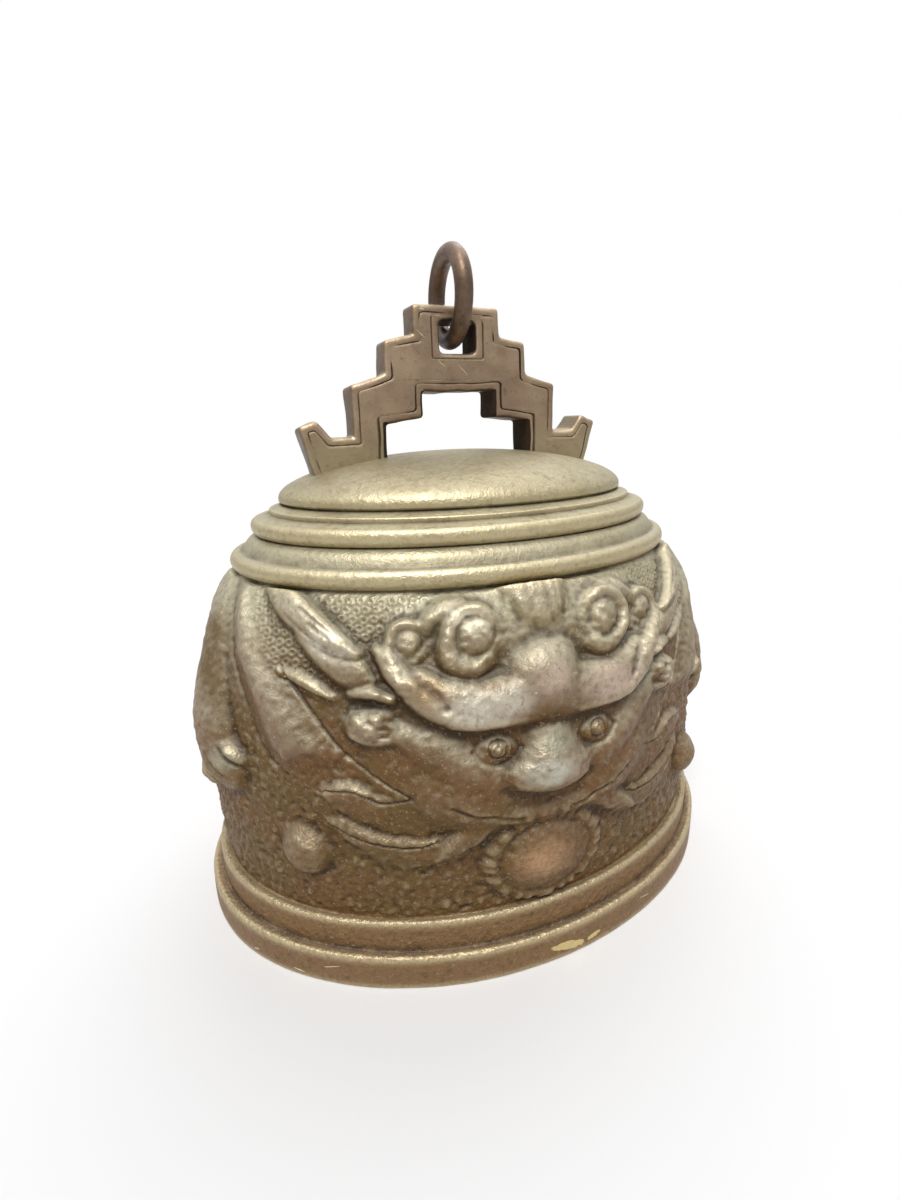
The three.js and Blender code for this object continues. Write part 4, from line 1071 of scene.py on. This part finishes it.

# Pale and dark patches on the mask: centre, half sizes and colour; some are the metal's own tone, others
# painted highlights, reflections and shade, as marked
PATCHES_AND_PAINTED_LIGHT = [
    # painted reflections on the left brow, the right brow and the forehead
    ((-23, -80, 97), (20, 16, 10), PALE_BROW),
    ((16, -82, 97), (17, 16, 9), PINK_TAUPE),
    ((-4.5, -86, 103), (11, 16, 9), PINK_TAUPE),
    ((-3, -86, 84.5), (12, 16, 6.5), GREEN_GREY),
    # painted highlight on the nose
    ((-8, -88, 75.5), (14, 18, 7), BLUE_GREY),
    # painted shade on the large curl's lower part
    ((-22, -76, 103.5), (12, 14, 5.5), SHADED),
    # painted highlight on the large curl's top
    ((-24, -73, 118.5), (13, 12, 5), PAINTED_CURL_HIGHLIGHT),
    ((-2, -80, 118), (12, 14, 10), GOLDEN),
    ((-61, -57, 113), (15, 13, 9), PALE_BROW),
    ((-92, -20, 104), (15, 26, 22), BROWN),
    ((-95, -37, 73), (11, 14, 9), GREEN_GREY),
    # painted shade of the brows over both eyes
    ((-19, -84, 81.5), (8, 14, 5.5), WARM_BROWN),
    ((11.5, -84, 81.5), (7, 14, 5.5), WARM_BROWN),
    ((-38, -76, 102), (10, 14, 8), RED_BROWN),
    ((-6, -87, 41), (20, 18, 14), COPPER),
]

# Marks on the metal: centre, half sizes and the turn about Y in degrees
BRASS_SCUFFS = [((4.0, -79.6, 4.2), (13.0, 6.0, 3.2), 12), ((14.0, -79.0, 3.6), (6.0, 6.0, 2.0), -10)]
RIM_SCRATCHES = [((-58.0, -66.6, 13.4), (4.2, 3.0, 0.35), 24), ((-70.0, -59.2, 7.0), (6.0, 4.0, 0.3), -18),
                 ((-79.7, -51.8, 2.2), (3.4, 4.0, 0.5), 8), ((-91.9, -38.4, 3.0), (2.0, 3.0, 0.5), -30),
                 ((38.0, -74.0, 6.4), (5.0, 4.0, 0.3), 15)]
CROWN_SCRATCHES = [((-12.8, -6.5, 196.1), (3.8, 1.5, 0.28), 41), ((-6.0, -6.5, 187.3), (2.9, 1.5, 0.25), 37),
                   ((1.6, -6.5, 185.4), (4.0, 1.5, 0.25), 43), ((-12.2, -6.5, 203.6), (1.6, 1.5, 0.5), 5)]


def shell_bronze():
    """Brown low down and olive above, pale where proud or worn and partly a painted highlight there, a
    painted sky sheen on upward faces, dark in creases with painted shade in broad hollows, painted
    highlights, reflections and shade in patches on the mask, with specks, painted glints and scuffs.
    """
    f = Finish("cast_bronze", BROWN)
    cavity, broad = f.value("cavity"), f.value("broad")
    fine = f.noise(1.8, detail=6, roughness=0.75)
    patch, mottle = f.noise(24, detail=5), f.noise(12, detail=6)
    f.tint(WARM_BROWN, f.step(patch, 0.36, 0.64))
    ragged_height = f.plus(f.height, f.step(patch, 0.3, 0.7, -MM, MM))
    f.tint(RED_BROWN, f.step(ragged_height, 23.5 * MM, 21.5 * MM))
    f.tint(OLIVE, f.times(f.rise(98, 126), f.step(patch, 0.25, 0.6, 0.6, 1.0)))
    # grey taupe on proud forms, more of it higher up: partly wear, partly a painted highlight
    proud = f.times(f.step(broad, -0.1, 0.9), f.step(mottle, 0.3, 0.65, 0.8, 1.0))
    f.tint(GREY_TAUPE, f.times(proud, f.rise(55, 100, 0.1, 0.75)))
    # a painted sky sheen on upward faces, partly dust, weaker on the mouldings and low on the wall
    upward_sheen_and_dust = f.times(f.step(f.upward, 0.05, 0.7), f.step(mottle, 0.3, 0.6, 0.7, 1.0))
    f.tint(GREY_GREEN, f.times(upward_sheen_and_dust, f.rise(124, 146, 0.75, 0.45), f.rise(50, 95, 0.35, 1.0)))
    ragged = f.times(f.step(f.noise(9), 0.32, 0.62, 0.5, 1.0), f.step(broad, -0.6, 0.3))
    for centre, reach, tone in PATCHES_AND_PAINTED_LIGHT:
        f.tint(tone, f.times(f.step(f.near(centre, reach), 0.0, 0.7), ragged, PATCH_STRENGTH))
    wall = f.times(f.rise(21, 24), f.rise(126, 122))
    # pale golden on proud edges: rubbed wear, and a painted highlight on the mouldings' crests, where it is
    # stronger
    worn = f.times(f.step(cavity, 0.1, 1.0), f.step(fine, 0.3, 0.6, 0.4, 1.0))
    f.tint(GOLDEN, f.times(worn, f.step(wall, 0.0, 1.0, 0.65, 0.25)))
    # dark patina in fine creases, and painted shade in broad hollows such as under the nose
    dirt_and_shade = f.plus(f.step(cavity, 0.0, -0.9), f.step(broad, -0.15, -1.0, 0.0, 0.5))
    dirt_and_shade = f.times(dirt_and_shade, f.step(f.noise(8), 0.3, 0.62, 0.4, 1.0))
    f.tint(CREASE, f.times(f.math("MINIMUM", dirt_and_shade, 1.0), DIRT_AND_SHADE_STRENGTH))
    f.tint(CREASE, f.times(f.step(fine, 0.48, 0.7, 0.0, 0.55), f.rise(122, 130, 1.0, 0.6)))
    f.tint(CREASE, f.step(f.noise(3.2), 0.54, 0.72, 0.0, 0.25))
    f.tint(BROWN, f.times(f.step(f.noise(2.4), 0.36, 0.64, 0.08, 0.26), f.rise(146, 152)))
    # fine pale specks, partly painted sparkle
    f.tint(SPECK, f.step(f.noise(0.9, detail=2), 0.56, 0.76, 0.0, 0.3))
    # sparse painted glints above 60 mm, away from creases
    glints = f.times(f.step(f.noise(1.1, detail=3), 0.66, 0.72), f.step(f.noise(15), 0.46, 0.58))
    f.tint(SPECK, f.times(glints, f.rise(60, 90), f.step(cavity, -0.3, 0.4)))
    f.tint(BRASS, f.marks(BRASS_SCUFFS, 2.6, 0.21, 0.28))
    f.tint(SPECK, f.marks(RIM_SCRATCHES, 1.6, 0.15, 0.25))
    metal = f.plus(f.step(cavity, -0.6, 0.8, 0.2, 0.4), f.rise(118, 130, 0.0, 0.3))
    rough = f.plus(f.step(cavity, -0.5, 0.7, 0.54, 0.4), f.step(f.noise(5), 0.3, 0.7, -0.02, 0.05))
    pebbles = f.times(f.noise(1.8, detail=2), f.rise(100, 50, 0.3, 0.9))
    grain = [(f.noise(3.4, detail=3), 0.14), (pebbles, 0.85), (f.noise(0.6, detail=2), 0.12)]
    return f.done(metal, rough, grain, OLD_GLOSS)


def crown_bronze():
    """Taupe, olive on top and by the dome, pale on worn edges, dark in lines, with painted shade on side
    faces, the arch's inner reveals and undersides.
    """
    f = Finish("crown_bronze", DARK_TAUPE)
    cavity, sideways = f.value("cavity"), f.math("ABSOLUTE", f.rightward, 0.0)
    f.tint(TAUPE, f.step(f.noise(16, detail=5), 0.36, 0.64))
    f.tint(OLIVE, f.rise(172, 154, 0.0, 0.6))
    f.tint(OLIVE, f.step(f.upward, 0.2, 0.8, 0.0, 0.4))
    f.tint(CREASE, f.step(f.noise(2.0, detail=6, roughness=0.7), 0.5, 0.74, 0.0, 0.4))
    f.tint(PINK_TAUPE, f.times(f.step(cavity, 0.2, 1.0), f.step(f.noise(5, detail=5), 0.42, 0.6), 0.4))
    f.tint(CREASE, f.times(f.step(cavity, -0.2, -1.1), f.step(f.noise(7), 0.3, 0.62, 0.25, 0.95)))
    # painted shade on the side faces
    f.tint(CREASE, f.step(sideways, 0.4, 0.9, 0.0, 0.5))
    # painted shade on faces that look inwards within about 30 mm of the middle, the arch's reveals; the same
    # mask makes them rougher
    inward = f.step(f.times(f.rightward, f.x, -1.0), 3 * MM, 6 * MM)
    shaded_reveal = f.times(inward, f.step(f.math("ABSOLUTE", f.x, 0.0), 32 * MM, 28 * MM))
    f.tint(CREASE, f.times(shaded_reveal, 0.95))
    # painted shade on undersides
    f.tint(CREASE, f.step(f.upward, -0.3, -0.8, 0.0, 0.7))
    f.tint(SPECK, f.times(f.marks(CROWN_SCRATCHES, 1.4, 0.15, 0.25), 0.6))
    metal = f.times(f.step(cavity, -0.6, 0.8, 0.3, 0.6), f.step(sideways, 0.4, 0.9, 1.0, 0.1))
    rough = f.plus(f.step(f.noise(4), 0.3, 0.7, 0.38, 0.52), f.times(shaded_reveal, 0.45))
    return f.done(metal, rough, [(f.noise(4.0, detail=3), 0.25), (f.noise(0.7, detail=2), 0.08)], OLD_GLOSS)


def ring_bronze():
    f = Finish("ring_bronze", RING_BROWN)
    f.tint(RING_COPPER, f.step(f.noise(8, detail=5), 0.35, 0.65))
    f.tint(CREASE, f.step(f.noise(1.6, detail=6), 0.52, 0.74, 0.0, 0.6))
    rough = f.step(f.noise(3), 0.3, 0.7, 0.34, 0.5)
    return f.done(0.55, rough, [(f.noise(2.6, detail=3), 0.12), (f.noise(0.5, detail=2), 0.05)])


def forged_iron():
    f = Finish("forged_iron", IRON)
    rust = f.step(f.noise(6, detail=6), 0.48, 0.66)
    f.tint(RUST, rust)
    metal, rough = f.step(rust, 0.0, 1.0, 0.8, 0.15), f.step(rust, 0.0, 1.0, 0.5, 0.85)
    return f.done(metal, rough, [(f.noise(5, detail=2), 0.4), (f.noise(0.9, detail=3), 0.12)])


# Floor, light and camera

FLOOR_REACH = 4000.0


def floor():
    corners = FLOOR_REACH * np.array([(-1, -1, 0), (1, -1, 0), (1, 1, 0), (-1, 1, 0)])
    mesh = build_mesh("floor", corners, [np.array([[0, 1, 2, 3]])], sharp_degrees=30)
    mesh.materials.append(Finish("pale_floor", FLOOR_WHITE).done(metal=0.0, rough=0.9))
    plane = placed("floor", mesh)


AMBIENT = 0.24
BACKDROP = 1.0
MIRRORED_HORIZON, MIRRORED_TOP = 0.32, 1.65
# Each lamp's name, the way to it, its spread in degrees and its strength
SUNS = [("key", (-0.2, -0.4, 0.89), 28, 2.7), ("back", (0.3, 0.42, 0.86), 45, 0.9)]


def studio_light():
    """Even light all round, which the gloss mirrors as a brighter ceiling, and two soft suns."""
    world = bpy.data.worlds.new("studio")
    bpy.context.scene.world = world
    world.use_nodes = True
    w = Nodes(world.node_tree)
    up = w.node("ShaderNodeSeparateXYZ", "Z", {"Vector": w.node("ShaderNodeTexCoord", "Generated", {})})
    ceiling = w.node("ShaderNodeMapRange", "Result", {
        "Value": up, "From Min": 0.0, "From Max": 0.8, "To Min": MIRRORED_HORIZON, "To Max": MIRRORED_TOP})
    strength = AMBIENT
    for ray, seen in (("Is Glossy Ray", ceiling), ("Is Camera Ray", BACKDROP)):
        choice = w.node("ShaderNodeLightPath", ray, {})
        strength = w.node("ShaderNodeMix", "Result", {"Factor": choice, "A": strength, "B": seen})
    background = w.tree.nodes["Background"].inputs
    background["Color"].default_value = (1, 1, 1, 1)
    w.feed(background["Strength"], strength)
    for name, towards, spread, energy in SUNS:
        lamp = bpy.data.lights.new(name, "SUN")
        lamp.angle = math.radians(spread)
        lamp.energy = energy
        placed(name, lamp).rotation_euler = Vector(towards).to_track_quat("Z", "Y").to_euler()


CAMERA_PLACE = (-78.357, -202.431, 166.655)
CAMERA_TARGET = (0.0, 0.0, 93.817)
CAMERA_ROLL = -1.865
FOCAL_PIXELS = 571.0
IMAGE_WIDTH, IMAGE_HEIGHT = 900, 1200
PRINCIPAL_POINT = (460.0, 620.0)
SENSOR = 36.0
NEAREST = 10.0


def camera():
    data = bpy.data.cameras.new("photo_camera")
    data.sensor_width = SENSOR
    data.lens = FOCAL_PIXELS / IMAGE_HEIGHT * SENSOR
    data.shift_x = (IMAGE_WIDTH / 2 - PRINCIPAL_POINT[0]) / IMAGE_HEIGHT
    data.shift_y = (PRINCIPAL_POINT[1] - IMAGE_HEIGHT / 2) / IMAGE_HEIGHT
    data.clip_start = NEAREST * MM
    place, target = Vector(CAMERA_PLACE) * MM, Vector(CAMERA_TARGET) * MM
    aim = (target - place).to_track_quat("-Z", "Y").to_matrix().to_4x4()
    roll = Matrix.Rotation(math.radians(CAMERA_ROLL), 4, "Z")
    holder = placed("photo_camera", data)
    holder.matrix_world = Matrix.Translation(place) @ aim @ roll
    bpy.context.scene.camera = holder


# Assembly

camera()
studio_light()
floor()
bpy.context.scene.view_settings.view_transform = "Standard"

add_piece(shell_mesh(), "bell", "bell_shell", shell_bronze())
crown_finish = crown_bronze()
iron_finish = forged_iron()
add_piece(crown_mesh(), "bell", "stepped_crown", crown_finish)
add_piece(ring_mesh(), "ring", "suspension_ring", ring_bronze())
add_piece(staple_mesh(), "bell", "clapper_staple", iron_finish)
add_piece(shank_mesh(), "clapper", "clapper_shank", iron_finish)
add_piece(ball_mesh(), "clapper", "clapper_ball", iron_finish)
for name in ("crown_rove_left", "crown_rove_right"):
    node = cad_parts[name]
    node.data.materials.clear()
    node.data.materials.append(crown_finish)
